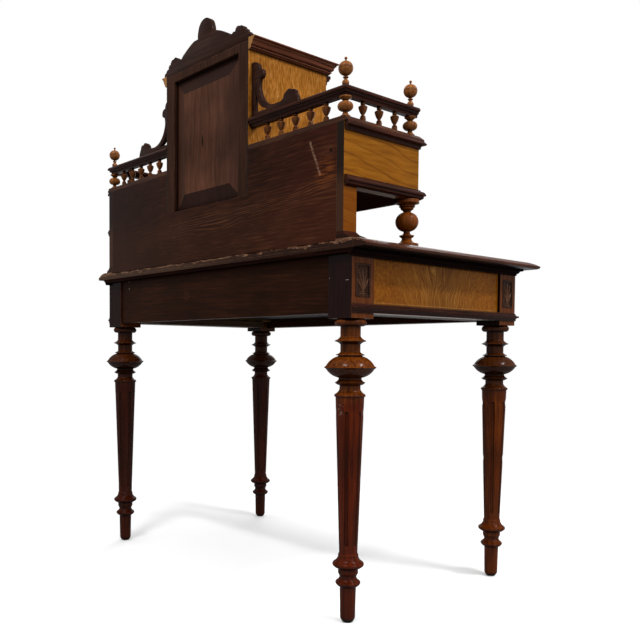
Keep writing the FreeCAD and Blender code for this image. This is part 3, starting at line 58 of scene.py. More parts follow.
def add(tree, kind, *sources, give="", stops=(), **settings):
    """Add a node to a finish and give one of its outputs: the first, or the one that is named.

    The sources go to its inputs in order, or by their names if they come in a dictionary. Each
    is a value, a hex colour or an output of another node. A ramp's stops are places and colours.
    """
    node = tree.nodes.new(f"ShaderNode{kind}")
    for name, value in settings.items():
        setattr(node, name, value)
    if stops:
        points = node.color_ramp.elements
        while len(points) < len(stops):
            points.new(0.5)
        for point, (place, code) in zip(points, stops):
            point.position = place
            point.color = linear(code)
    named = sources[0] if sources and isinstance(sources[0], dict) else dict(enumerate(sources))
    in_use = [socket for socket in node.inputs if socket.enabled]
    for key, source in named.items():
        socket = in_use[key] if isinstance(key, int) else node.inputs[key]
        if isinstance(source, bpy.types.NodeSocket):
            tree.links.new(source, socket)
        else:
            socket.default_value = linear(source) if isinstance(source, str) else source
    if give:
        return node.outputs[give]
    return next((socket for socket in node.outputs if socket.enabled), None)


def new_finish(name):
    """A material with nothing in it but its shader, the tree of its nodes, and that shader."""
    material = bpy.data.materials.new(name)
    material.use_nodes = True
    tree = material.node_tree
    tree.nodes.clear()
    finish = add(tree, "BsdfPrincipled")
    add(tree, "OutputMaterial", {"Surface": finish})
    return material, tree, finish.node


def per_metre(size_mm):
    """How many times a size fits in a metre, which is what the scale of a pattern means."""
    return 1000 / size_mm


def part_of(tree, output, axis):
    """One of the three parts of a texture coordinate: its X, Y or Z."""
    return add(tree, "SeparateXYZ", add(tree, "TexCoord", give=output), give=axis)


SQUARE_ON = 0.7             # a face looks along an axis when its normal has this much of it


def facing(tree, axis, sense=1):
    """1 where the surface looks along an axis, or against it where `sense` is -1."""
    along = add(tree, "Math", part_of(tree, "Normal", axis), sense, operation="MULTIPLY")
    return add(tree, "Math", along, SQUARE_ON, operation="GREATER_THAN")


# The turns about X, Y and Z that bring the grain of a piece onto the pattern's X axis.
GRAIN = {"x": (0, 0, 0), "y": (0, 0, math.radians(-90)), "z": (0, math.radians(90), 0)}
TONE_PLACES = (-0.2, -0.06, 0.06, 0.22)     # where the four tones lie, from the middle of the figure
RING_LENGTH = 0.15          # the growth rings waver this much less along the grain than across it
WAVE_RING = 0.314           # how far apart the rings of a wave pattern of scale 1 lie
NOISE_SWING = 0.25          # how far a noise mostly swings either way from its middle


def grain(tree, along, tones, offset=0.0, bold=0.6, streak_mm=5, draw=0.04, sway_mm=4,
          sway_length_mm=220, ring_mm=11, pith_mm=(70, 30), lean=0.02, ring_share=-0.08, thin=4.0,
          blotch=0.3):
    """The figure of a sawn or turned piece of wood: its colour, and its streaks as a height.

    `tones` are four hex colours from dark to light, which stand out more as `bold` rises. Streaks
    are `streak_mm` wide and 1 / `draw` times as long. The growth rings lie round a pith that
    passes through `pith_mm`, across the grain, and leans. They show as pale lines, or as dark
    ones where `ring_share` is negative, and are narrower the higher `thin` is. `blotch` is how
    much darker the cloudy patches of the stain are.
    """
    place = add(tree, "TexCoord", give="Object")
    laid = add(tree, "Mapping", {"Vector": place, "Rotation": GRAIN[along], "Location": (offset, 0, 0)})
    slow = add(tree, "TexNoise", {"Vector": laid, "Scale": per_metre(sway_length_mm), "Detail": 1.5},
               give="Color")
    swing = add(tree, "VectorMath", slow, (0.5, 0.5, 0.5), operation="SUBTRACT")
    reach = sway_mm / 1000 / NOISE_SWING
    swayed = add(tree, "VectorMath", swing, (0, reach, reach), laid, operation="MULTIPLY_ADD")
    drawn = add(tree, "Mapping", {"Vector": swayed, "Scale": (draw, 1, 1)})
    streaks = add(tree, "TexNoise", {"Vector": drawn, "Scale": per_metre(streak_mm), "Detail": 4,
                                     "Roughness": 0.62})
    pith = add(tree, "Mapping", {"Vector": swayed, "Rotation": (0, lean, -lean),
                                 "Location": (0, -pith_mm[0] / 1000, -pith_mm[1] / 1000)})
    squeezed = add(tree, "Mapping", {"Vector": pith, "Scale": (RING_LENGTH, 1, 1)})
    rings = add(tree, "TexWave", {"Vector": squeezed, "Scale": WAVE_RING * per_metre(ring_mm),
                                  "Distortion": 2.6, "Detail": 2, "Detail Scale": 0.8}, give="Fac",
                wave_type="RINGS", rings_direction="X", wave_profile="SAW")
    lines = add(tree, "Math", rings, thin, operation="POWER")
    figure = add(tree, "Math", lines, ring_share / bold, streaks, operation="MULTIPLY_ADD")
    stops = [(0.5 + level / bold, tone) for level, tone in zip(TONE_PLACES, tones)]
    body = add(tree, "ValToRGB", figure, stops=stops)
    clouds = add(tree, "TexNoise", {"Vector": laid, "Scale": per_metre(125), "Detail": 3})
    shade = add(tree, "MapRange", clouds, 0.35, 0.65, 1 - blotch, 1.0)
    grey = add(tree, "CombineColor", shade, shade, shade)
    body = add(tree, "Mix", 1.0, body, grey, data_type="RGBA", blend_type="MULTIPLY")
    return body, streaks


# The colour that hollows darken to: dirt, and a painted shade.
DIRT_AND_SHADE = "0c0403"
ARRIS_MM = 1.1              # how far from an edge a finish is rubbed through
PORE_DEPTH = 0.0005


def surface(tree, shader, body, height, grime=0.8, grime_mm=9, worn="8a5a38", wear=0.3, roughness=0.36,
            specular=0.02, coat=0.05, blur=0.12, relief=0.12):
    """What use and polish add to a colour: dirt and painted shade in the hollows, rubbed arrises, gloss
    and pores.

    `grime` and `wear` are the shares of the dirt with its painted shade in the hollows and of the bare
    colour `worn`, `relief` is how strongly the pores show, and `blur` is the roughness of the polish that
    `coat` lays on.
    """
    # Darkening near other surfaces: partly dirt in the hollows, partly painted shade.
    hollows = add(tree, "AmbientOcclusion", {"Distance": grime_mm / 1000}, give="AO", samples=8)
    dirt_and_shade = add(tree, "MapRange", hollows, 0.9, 0.45, 0.0, grime)
    body = add(tree, "Mix", dirt_and_shade, body, DIRT_AND_SHADE, data_type="RGBA")
    soft = add(tree, "Bevel", {"Radius": ARRIS_MM / 1000}, samples=6)
    true = add(tree, "NewGeometry", give="Normal")
    turn = add(tree, "VectorMath", soft, true, operation="DOT_PRODUCT")
    place = add(tree, "TexCoord", give="Object")
    patches = add(tree, "TexNoise", {"Vector": place, "Scale": per_metre(22.2), "Detail": 4})
    rubbed = add(tree, "Math", add(tree, "MapRange", turn, 0.98, 0.84),
                 add(tree, "MapRange", patches, 0.38, 0.62), operation="MULTIPLY")
    rubbed = add(tree, "Math", rubbed, add(tree, "Math", 1.0, dirt_and_shade, operation="SUBTRACT"),
                 operation="MULTIPLY")
    body = add(tree, "Mix", add(tree, "Math", rubbed, wear, operation="MULTIPLY"), body, worn,
               data_type="RGBA")
    tree.links.new(body, shader.inputs["Base Color"])
    gloss = add(tree, "MapRange", height, 0.3, 0.7, roughness - 0.05, roughness + 0.08)
    tree.links.new(add(tree, "Math", dirt_and_shade, 0.3, gloss, operation="MULTIPLY_ADD"),
                   shader.inputs["Roughness"])
    shader.inputs["Specular IOR Level"].default_value = specular
    shader.inputs["Coat Weight"].default_value = coat
    shader.inputs["Coat Roughness"].default_value = blur
    bump = add(tree, "Bump", {"Strength": relief, "Distance": PORE_DEPTH, "Height": height,
                               "Normal": soft})
    tree.links.new(bump, shader.inputs["Normal"])
    tree.links.new(bump, shader.inputs["Coat Normal"])


def wood(name, along, tones, figure=(), polish=()):
    """Wood with its grain along one axis, and nothing on it but its finish."""
    material, tree, shader = new_finish(name)
    body, height = grain(tree, along, tones, **dict(figure))
    surface(tree, shader, body, height, **dict(polish))
    return material


def dress(material, *nodes):
    """Give CAD nodes that keep their shape their finish."""
    for node in nodes:
        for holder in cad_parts[node].material_slots:
            holder.material = material


# What each finish of wood is made up from: four tones from dark to light.
SHAFT_RED = ("2b0a02", "421302", "571c04", "7a3409")
SHAFT_BROWN = ("361403", "502004", "692e07", "884a14")
SHAFT_SHADED = ("220701", "310d02", "401302", "5a2407")
BULB_POLISHED = ("3b1804", "562708", "703910", "925525")
BULB_BROWN_SHADED = ("2c1205", "401d09", "542b11", "724326")
BULB_SHADED = ("240c03", "361505", "47210a", "5f341a")
POST_POLISHED = ("43200a", "54290f", "633518", "784828")
WALL_STAIN = ("120605", "1a0807", "220d0a", "2e1410")
UNDERSIDE_PAINTED_SHADE = "1c0703"
CHALK = "a89c90"
BLOCK_BOTTOM = 0.612        # where the turned leg grows into its square post
SHAFT_TOP, NECK_BOTTOM = 0.44, 0.47         # the red of the shaft fades out between these
LEG_CHIPS = (
    (-0.459, 0.296, 0.686, (0.16, 0.2, 1.4), 0.0011),
    (-0.411, 0.296, 0.692, (1, 1, 0.8), 0.0014),
    (-0.441, 0.287, 0.433, (1, 1, 0.45), 0.006),
    (-0.447, 0.285, 0.425, (0.5, 1, 1), 0.0016),
)


def away_from(tree, x, y, z, scale=(1, 1, 1)):
    """How far the surface is from a place, in metres, with each direction taken `scale` times."""
    place = add(tree, "TexCoord", give="Object")
    apart = add(tree, "VectorMath", place, (x, y, z), operation="SUBTRACT")
    scaled = add(tree, "VectorMath", apart, scale, operation="MULTIPLY")
    return add(tree, "VectorMath", scaled, operation="LENGTH")


def chipped(tree, body, *chips):
    """Pale ragged chips: each is its place, the scale in each direction and its size."""
    place = add(tree, "TexCoord", give="Object")
    ragged = add(tree, "TexNoise", {"Vector": place, "Scale": per_metre(2.38), "Detail": 3})
    for x, y, z, scale, size in chips:
        away = add(tree, "Math", away_from(tree, x, y, z, scale),
                   add(tree, "MapRange", ragged, 0.35, 0.65, 0.6, 2.2), operation="MULTIPLY")
        body = add(tree, "Mix", add(tree, "MapRange", away, size * 0.7, size, 0.8, 0.0), body, CHALK,
                   data_type="RGBA")
    return body


# Turned walnut, French polished: red-brown shafts under clearer bulbs that carry small bright lights,
# with quirks and flutes that stay almost black.
# Painted shade: the two right-hand legs take darker copies of the tones, and the front left leg darker
# bulbs.
for number, (node, shaft_tones, bulb_tones) in enumerate((
    ("leg_back_left", SHAFT_RED, BULB_POLISHED),
    ("leg_back_right", SHAFT_SHADED, BULB_SHADED),
    ("leg_front_left", SHAFT_BROWN, BULB_BROWN_SHADED),
    ("leg_front_right", SHAFT_SHADED, BULB_SHADED),
)):
    material, tree, shader = new_finish(f"french_polished_turned_walnut_{number}")
    shaft, height = grain(tree, "z", shaft_tones, offset=0.37 * number, sway_mm=1, blotch=0.4)
    bulb, _ = grain(tree, "z", bulb_tones, offset=0.37 * number, sway_mm=1, blotch=0.3)
    z_place = part_of(tree, "Object", "Z")
    above_shaft = add(tree, "MapRange", z_place, SHAFT_TOP, NECK_BOTTOM)
    turned = add(tree, "Mix", above_shaft, shaft, bulb, data_type="RGBA")
    square, _ = grain(tree, "z", POST_POLISHED, offset=0.9 + 0.37 * number, blotch=0.2)
    stained, _ = grain(tree, "z", WALL_STAIN, offset=2.1 + 0.37 * number, bold=0.8)
    on_post = add(tree, "Math", z_place, BLOCK_BOTTOM, operation="GREATER_THAN")
    body = add(tree, "Mix", on_post, turned, square, data_type="RGBA")
    to_wall = add(tree, "Math", on_post, facing(tree, "Y"), operation="MULTIPLY")
    body = add(tree, "Mix", to_wall, body, stained, data_type="RGBA")
    if node == "leg_back_left":
        body = chipped(tree, body, *LEG_CHIPS)
    # The downward faces of the turnings are painted darker: a painted shade.
    painted_shade_below = add(tree, "MapRange", part_of(tree, "Normal", "Z"), 0.0, -0.7, 0.0, 0.6)
    body = add(tree, "Mix", painted_shade_below, body, UNDERSIDE_PAINTED_SHADE, data_type="RGBA")
    surface(tree, shader, body, height, grime=1.0, grime_mm=10, worn="9a6238", wear=0.35, coat=0.12,
            specular=0.0, blur=0.18, roughness=0.3, relief=0.05)
    dress(material, node)


# ---- Aprons ----
# Boards tenoned into the posts. The back apron is stained softwood. The side aprons are veneered: a
# flame of walnut crotch fans up from the middle of the lower edge, with burr beside it and a pale
# line at its foot.

DARK_SOFTWOOD = ("190b05", "231108", "2e170c", "402415")
APRON_BACK = 0.292
APRON_KNOT = (0.093, APRON_BACK, 0.683)
APRON_CHIPS = (
    (0.369, APRON_BACK, 0.735, (1, 1, 1), 0.0024),
    (0.369, APRON_BACK, 0.716, (1, 1, 1), 0.0024),
)
KNOT_RINGS = 0.0045         # how far apart the rings round a knot lie
KNOT_HALO, KNOT_HEART = "5a3420", "140806"


def knot(tree, body, x, y, z, radius, scale=(1, 1, 1)):
    """A dark knot with the grain in close rings round it."""
    away = away_from(tree, x, y, z, scale)
    turns = add(tree, "Math", away, 2 * math.pi / KNOT_RINGS, operation="MULTIPLY")
    circles = add(tree, "Math", turns, operation="SINE")
    halo = add(tree, "Math", add(tree, "MapRange", away, radius, radius * 4, 0.6, 0.0), circles,
               operation="MULTIPLY", use_clamp=True)
    body = add(tree, "Mix", halo, body, KNOT_HALO, data_type="RGBA")
    heart = add(tree, "MapRange", away, radius * 0.6, radius, 0.9, 0.0)
    return add(tree, "Mix", heart, body, KNOT_HEART, data_type="RGBA")


# Planed softwood, stained and never polished: dull, nearly black brown, with its grain just showing.
material, tree, shader = new_finish("stained_softwood_apron")
body, height = grain(tree, "x", DARK_SOFTWOOD, offset=1.1, bold=0.7, ring_share=0.06, ring_mm=9,
                     streak_mm=4)
body = knot(tree, body, *APRON_KNOT, 0.004)
body = chipped(tree, body, *APRON_CHIPS)
surface(tree, shader, body, height, coat=0.0, roughness=0.55, specular=0.02, worn="6a4634", wear=0.6,
        relief=0.3)
dress(material, "apron_back")

FOOT_LINE, FOOT_LINE_HALF = 0.6445, 0.0012
FLAME_MIDDLE = 0.009
FLAME_ROOT = 0.47           # the streaks of the flame would meet this far up, below the apron
FLAME_FAN, FLAME_LENGTH = 60.0, 22.0        # streaks to a radian, and breaks in them to a metre
FLAME_HEART = "4a2a0c"
FOOT_LINE_PALE = "b88b50"
UNDERSIDE_FLOOR_LIGHT = "5d554f"
# Crotch walnut veneer, polished: golden brown, with feathered streaks that rise and spread like a
# flame, and a finer burr at both ends.
material, tree, shader = new_finish("polished_flame_veneer")
burr, height = grain(tree, "z", ("542a04", "733f08", "885111", "a6702a"), offset=0.2, bold=0.65,
                     streak_mm=4, draw=0.5, sway_mm=7, sway_length_mm=60, ring_share=-0.05, ring_mm=13,
                     blotch=0.25)
across = add(tree, "Math", part_of(tree, "Object", "Y"), FLAME_MIDDLE, operation="SUBTRACT")
up = add(tree, "Math", part_of(tree, "Object", "Z"), FLAME_ROOT, operation="SUBTRACT")
place = add(tree, "TexCoord", give="Object")
wander = add(tree, "TexNoise", {"Vector": place, "Scale": per_metre(71.4), "Detail": 2})
angle = add(tree, "Math", add(tree, "Math", across, up, operation="ARCTAN2"),
            add(tree, "MapRange", wander, 0.3, 0.7, -0.05, 0.05), operation="ADD")
square = add(tree, "Math", add(tree, "Math", across, across, operation="MULTIPLY"),
             add(tree, "Math", up, up, operation="MULTIPLY"), operation="ADD")
reach = add(tree, "Math", square, operation="SQRT")
polar = add(tree, "CombineXYZ", add(tree, "Math", angle, FLAME_FAN, operation="MULTIPLY"),
            add(tree, "Math", reach, FLAME_LENGTH, operation="MULTIPLY"))
feather = add(tree, "TexNoise", {"Vector": polar, "Scale": 1.0, "Detail": 4, "Distortion": 0.8})
flame = add(tree, "ValToRGB", feather, stops=((0.28, "4c2807"), (0.45, "6c3f10"), (0.57, "84541c"),
                                              (0.74, "a67739")))
inside = add(tree, "MapRange", add(tree, "Math", across, operation="ABSOLUTE"), 0.03, 0.17, 0.9, 0.0)
body = add(tree, "Mix", inside, burr, flame, data_type="RGBA")
upright = add(tree, "MapRange", add(tree, "Math", angle, operation="ABSOLUTE"), 0.05, 0.35, 0.35, 0.0)
heart = add(tree, "Math", upright, add(tree, "MapRange", wander, 0.35, 0.65, 0.3, 1.0),
            operation="MULTIPLY")
body = add(tree, "Mix", heart, body, FLAME_HEART, data_type="RGBA")
# A thin pale line is painted along the foot of the veneer.
foot_line = add(tree, "Math", part_of(tree, "Object", "Z"), FOOT_LINE, FOOT_LINE_HALF,
                operation="COMPARE")
foot_line = add(tree, "Math", foot_line, 0.2, operation="MULTIPLY")
body = add(tree, "Mix", foot_line, body, FOOT_LINE_PALE, data_type="RGBA")
# Painted light: its downward faces are a pale grey, for the light that the floor throws up on them.
body = add(tree, "Mix", facing(tree, "Z", -1), body, UNDERSIDE_FLOOR_LIGHT, data_type="RGBA")
surface(tree, shader, body, height, grime_mm=5, wear=0.2)
dress(material, "apron_left", "apron_right")


# ---- Mouldings ----
# Walnut mouldings, planed in lengths, mitred at the corners and stained darker than the carcase.
# Their grain follows the run, so it turns with them at each mitre.

MOULDED = ("1c0b05", "2a120a", "39190f", "4f2918")


def moulding(name, offset=0.0, tones=MOULDED, end_grain=None, **polish):
    """Moulded walnut whose grain runs along X on its back and front, and along Y on its sides."""
    material, tree, shader = new_finish(name)
    along_x, height = grain(tree, "x", tones, offset=offset)
    along_y, _ = grain(tree, "y", tones, offset=offset + 0.3)
    across = add(tree, "Math", part_of(tree, "Normal", "X"), operation="ABSOLUTE")
    deep = add(tree, "Math", part_of(tree, "Normal", "Y"), operation="ABSOLUTE")
    body = add(tree, "Mix", add(tree, "Math", across, deep, operation="GREATER_THAN"), along_x, along_y,
               data_type="RGBA")
    if end_grain:
        body = add(tree, "Mix", facing(tree, "Y"), body, end_grain, data_type="RGBA")
    surface(tree, shader, body, height, **{"roughness": 0.32, "grime_mm": 6, "worn": "8f5c3a",
                                           "wear": 0.45, **polish})
    return material


# Stained and polished walnut mouldings: dark brown bands with lighter rubbed arrises. The bed moulding
# lies in the shade of the top: its tones are painted nearly black for that shade, and its hollows
# darken with dirt and painted shade. The cornice is a warmer brown, and shows the pale ends of its lengths
# behind.
dress(moulding("stained_walnut_moulding"), "wing_base_mouldings", "wing_cornices", "gallery_rail_left",
      "gallery_rail_right", "pilaster_plinths")
dress(moulding("stained_walnut_apron_moulding", 1.9, ("190b05", "260f07", "351710", "4a2619"), wear=0.3),
      "apron_moulding")
# Painted shade: the bed moulding's tones are nearly black, and its hollows darken fully over 30 mm.
dress(moulding("stained_walnut_bed_moulding_painted_shade", 0.7, ("0c0402", "130604", "1c0a06", "30170d"), specular=0.0,
               coat=0.02, grime_mm=30, grime=1.0, wear=0.1), "bed_moulding")
dress(moulding("stained_walnut_cornice", 1.3, ("3e1e12", "552d1c", "6a3c29", "89573f"), end_grain="94683a",
               grime=0.95), "cabinet_cornice")
dress(wood("stained_walnut_rail", "x", MOULDED), "head_rail", "wing_rails", "front_rails")


# ---- The top ----
# A walnut board in a broad sloping edge moulding, mitred at the corners and glued on. The back of
# it is aged, and along its upper arris the polish is gone.

TOP_BROWN = ("2a140a", "3a2014", "4a2b1b", "5e3b27")
EDGE_BROWN = ("260f07", "3a1b10", "4d2919", "684029")
TOP_SHADE = "0f0907"
BACK_ARRIS = 0.766
BACK_PLANE = 0.3045         # what lies behind this is the aged back of the top
WORN_DEEP = 0.012           # how far down from the arris the bare wood reaches at most


def worn_back(tree, body):
    """Bare wood in ragged patches along the upper arris at the back, over dark old polish."""
    place = add(tree, "TexCoord", give="Object")
    drawn = add(tree, "Mapping", {"Vector": place, "Scale": (0.3, 1, 1)})
    ragged = add(tree, "TexNoise", {"Vector": drawn, "Scale": per_metre(16.67), "Detail": 6,
                                    "Roughness": 0.7})
    fibres = add(tree, "TexNoise", {"Vector": drawn, "Scale": per_metre(3.125), "Detail": 3})
    at_back = add(tree, "Math", part_of(tree, "Object", "Y"), BACK_PLANE, operation="GREATER_THAN")
    along = add(tree, "MapRange", part_of(tree, "Object", "X"), -0.2, 0.15)
    aged = add(tree, "ValToRGB", along, stops=((0.0, "22110b"), (1.0, "402c1e")))
    share = add(tree, "Math", at_back, 0.8, operation="MULTIPLY")
    body = add(tree, "Mix", share, body, aged, data_type="RGBA")
    depth = add(tree, "Math", BACK_ARRIS, part_of(tree, "Object", "Z"), operation="SUBTRACT")
    edge = add(tree, "Math", depth, add(tree, "MapRange", ragged, 0.3, 0.66, 0.0, WORN_DEEP),
               operation="LESS_THAN")
    bare = add(tree, "Math", add(tree, "Math", edge, at_back, operation="MULTIPLY"), 0.62,
               operation="MULTIPLY")
    tones = add(tree, "ValToRGB", fibres, stops=((0.35, "5c3b29"), (0.5, "7b553f"), (0.65, "a07a5e")))
    return add(tree, "Mix", bare, body, tones, data_type="RGBA")


# Polished walnut, deep brown with a low gloss. Underneath it is painted almost black: a painted shade.
for name, along, tones, node in (
    ("polished_walnut_board", "x", TOP_BROWN, "table_top"),
    ("polished_walnut_edge", "y", EDGE_BROWN, "top_edge_moulding"),
):
    material, tree, shader = new_finish(name)
    body, height = grain(tree, along, tones, offset=2.0)
    body = worn_back(tree, body)
    # Painted shade: the downward faces are almost black.
    body = add(tree, "Mix", facing(tree, "Z", -1), body, TOP_SHADE, data_type="RGBA")
    surface(tree, shader, body, height, worn="9a6b45", wear=0.5)
    dress(material, node)


# ---- Rear arris of the top ----
# The strip of the top's board that stands out behind the back board. Knocks against the wall have
# broken its upper arris, and wear has made the breaks ragged and pale.

BREAKS = ((0.03, 0.006), (0.006, 0.0025))       # how wide the breaks are, and how deep
ARRIS_CUTS = 99             # the strip is cut across into 100 lengths, and each into four


def alone(piece):
    """Select one piece, and nothing else."""
    bpy.ops.object.select_all(action="DESELECT")
    piece.select_set(True)
    bpy.context.view_layer.objects.active = piece


def shape(kind, location=(0, 0, 0), scale=(1, 1, 1), **settings):
    """A new plain shape, with its place, turn and scale made part of its mesh."""
    bpy.ops.object.select_all(action="DESELECT")
    getattr(bpy.ops.mesh, f"primitive_{kind}_add")(location=location, **settings)
    piece = bpy.context.object
    piece.scale = scale
    bpy.ops.object.transform_apply(location=True, rotation=True, scale=True)
    return piece


def joined(pieces):
    """Several pieces made one, under the first."""
    alone(pieces[0])
    for piece in pieces:
        piece.select_set(True)
    bpy.ops.object.join()
    return pieces[0]


def applied(piece, kind, **settings):
    """Finish a piece with one modifier."""
    modifier = piece.modifiers.new(kind.lower(), kind)
    for name, value in settings.items():
        setattr(modifier, name, value)
    alone(piece)
    bpy.ops.object.modifier_apply(modifier=modifier.name)


def finished(piece, name, finish, body, smooth_to=35):
    """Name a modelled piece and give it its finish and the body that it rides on.

    A piece that has its finishes already is given None.
    """
    piece.name = piece.data.name = name
    alone(piece)
    bpy.ops.object.shade_smooth_by_angle(angle=math.radians(smooth_to))
    if finish:
        piece.data.materials.clear()
        piece.data.materials.append(finish)
    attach(piece, body)
    return piece


BOARD_LOW, BOARD_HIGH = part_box("back_board")
LIP_LOW = Vector((BOARD_LOW.x, BOARD_HIGH.y, BOARD_LOW.z))
LIP_HIGH = Vector((BOARD_HIGH.x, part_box("table_top")[1].y, BACK_ARRIS))
lip = shape("cube", size=1, location=(LIP_LOW + LIP_HIGH) / 2, scale=LIP_HIGH - LIP_LOW)
bpy.ops.object.mode_set(mode="EDIT")
bpy.ops.mesh.select_mode(type="EDGE")
bpy.ops.mesh.select_all(action="DESELECT")
bpy.ops.object.mode_set(mode="OBJECT")
for edge in lip.data.edges:
    first, second = (lip.data.vertices[number].co for number in edge.vertices)
    edge.select = abs(first.x - second.x) > 0.1
bpy.ops.object.mode_set(mode="EDIT")
bpy.ops.mesh.subdivide(number_cuts=ARRIS_CUTS)
bpy.ops.mesh.subdivide(number_cuts=3)
bpy.ops.object.mode_set(mode="OBJECT")
arris = lip.vertex_groups.new(name="arris")
top_corners = [corner.index for corner in lip.data.vertices if corner.co.z > BACK_ARRIS - 0.001]
arris.add(top_corners, 1.0, "REPLACE")
for grain_size, depth in BREAKS:
    breaks = bpy.data.textures.new("breaks", "CLOUDS")
    breaks.noise_scale = grain_size
    applied(lip, "DISPLACE", texture=breaks, texture_coords="GLOBAL", direction="Z", strength=depth,
            mid_level=1.0, vertex_group="arris")
finished(lip, "top_rear_arris", bpy.data.materials["polished_walnut_board"], "root")


# ---- Writing leather ----
# A green skiver, which is the thin grain side of a sheepskin, glued into a bed in the top and
# tooled with two gilt lines along its edges.

LEATHER_LOW, LEATHER_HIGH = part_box("writing_leather")
TOOLED_INSET, TOOLED_HALF = 0.012, 0.0009               # the outer line's place and half its width
FINE_INSET, FINE_HALF = TOOLED_INSET + 0.006, TOOLED_HALF / 2
GILT = "b08a3e"
# Waxed skiver: a clouded dark green with a soft sheen that its grain breaks up.
material, tree, shader = new_finish("waxed_green_skiver")
place = add(tree, "TexCoord", give="Object")
middle = (LEATHER_LOW + LEATHER_HIGH) / 2
half = (LEATHER_HIGH - LEATHER_LOW) / 2
centred = add(tree, "VectorMath", place, tuple(middle), operation="SUBTRACT")
folded = add(tree, "VectorMath", centred, operation="ABSOLUTE")
inward = add(tree, "VectorMath", tuple(half), folded, operation="SUBTRACT")
margins = add(tree, "SeparateXYZ", inward).node.outputs
margin = add(tree, "Math", margins["X"], margins["Y"], operation="MINIMUM")
clouds = add(tree, "TexNoise", {"Vector": place, "Scale": per_metre(111), "Detail": 4})
# Skiver has a grain of about 1 mm: it is drawn at 1.5 mm, so that it shows.
hide = add(tree, "TexVoronoi", {"Vector": place, "Scale": per_metre(1.5)}, give="Distance")
body = add(tree, "ValToRGB", clouds, stops=((0.3, "1c2b1b"), (0.5, "28391f"), (0.7, "3a4a2c")))
wide = add(tree, "Math", margin, TOOLED_INSET, TOOLED_HALF, operation="COMPARE")
fine = add(tree, "Math", margin, FINE_INSET, FINE_HALF, operation="COMPARE")
gilt = add(tree, "Math", wide, fine, operation="MAXIMUM")
body = add(tree, "Mix", gilt, body, GILT, data_type="RGBA")
tree.links.new(body, shader.inputs["Base Color"])
shader.inputs["Roughness"].default_value = 0.5
shader.inputs["Specular IOR Level"].default_value = 0.3
bump = add(tree, "Bump", {"Strength": 0.4, "Distance": 0.0003, "Height": hide})
tree.links.new(bump, shader.inputs["Normal"])
dress(material, "writing_leather")


# ---- Back of the upper part ----
# One wide softwood board, planed and stained, and nailed to the carcase. The stain has faded redder
# at the left side. It has a knot, a rubbed streak, nail holes and pale lines of late wood.

BOARD_TONES = ("190d08", "28150e", "361d13", "4f2f1f")
BOARD_BACK = 0.305
LEFT_RED = "340f06"
STREAK_TOP, STREAK_FOOT = (-0.361, 0.969), (-0.391, 0.898)      # X and Z of the rubbed streak's ends
LINES_HEIGHT, LINES_SLOPE = 0.853, -0.036                       # the band of pale lines, at X = 0
LINES_GAP, LINES_WAVER = 0.003, 0.008
GLOW = (-0.405, BOARD_BACK, 0.902)
BACK_KNOT = (-0.421, BOARD_BACK, 0.9414)
NAIL_HOLES = ((0.296, 0.879), (0.440, 0.932), (0.161, 0.940))
# Stained softwood, never polished: a dull purple brown, redder at the left end, greyer at the right.
material, tree, shader = new_finish("stained_softwood_back")
body, height = grain(tree, "x", BOARD_TONES, offset=0.5, bold=0.8, streak_mm=3, draw=0.05, sway_mm=4,
                     sway_length_mm=300, ring_mm=9, pith_mm=(365, 930), lean=-0.035, ring_share=0.05,
                     thin=5.0, blotch=0.5)
x_place = part_of(tree, "Object", "X")
z_place = part_of(tree, "Object", "Z")
warmer = add(tree, "MapRange", x_place, -0.15, -0.4, 0.0, 0.4)
reddened = add(tree, "Mix", 1.0, body, LEFT_RED, data_type="RGBA", blend_type="SCREEN")
body = add(tree, "Mix", warmer, body, reddened, data_type="RGBA")
cooler = add(tree, "MapRange", x_place, 0.05, 0.4, 0.0, 0.65)
body = add(tree, "Mix", cooler, body, "271b19", data_type="RGBA")
paler = add(tree, "MapRange", z_place, 0.93, 0.83, 0.0, 0.08)
body = add(tree, "Mix", paler, body, "6b3f26", data_type="RGBA")
# Late wood shows as a band of pale lines that climbs towards the left end.
place = add(tree, "TexCoord", give="Object")
drawn = add(tree, "Mapping", {"Vector": place, "Scale": (0.2, 1, 1)})
waver = add(tree, "TexNoise", {"Vector": drawn, "Scale": per_metre(55.6), "Detail": 1})
level = add(tree, "Math", x_place, LINES_SLOPE, LINES_HEIGHT, operation="MULTIPLY_ADD")
above = add(tree, "Math", add(tree, "Math", z_place, level, operation="SUBTRACT"),
            add(tree, "MapRange", waver, 0.3, 0.7, -LINES_WAVER, LINES_WAVER), operation="ADD")
steps = add(tree, "Math", above, LINES_GAP, operation="PINGPONG")
lines = add(tree, "MapRange", steps, 0.0016, LINES_GAP)
aside = add(tree, "Math", above, operation="ABSOLUTE")
band = add(tree, "Math", add(tree, "MapRange", aside, 0.008, 0.03, 1.0, 0.0),
           add(tree, "MapRange", height, 0.38, 0.6, 0.25, 1.0), operation="MULTIPLY")
band = add(tree, "Math", band, add(tree, "MapRange", x_place, 0.05, 0.25, 0.32, 0.0),
           operation="MULTIPLY")
lines = add(tree, "Math", lines, band, operation="MULTIPLY")
body = add(tree, "Mix", lines, body, "8a5a3c", data_type="RGBA")
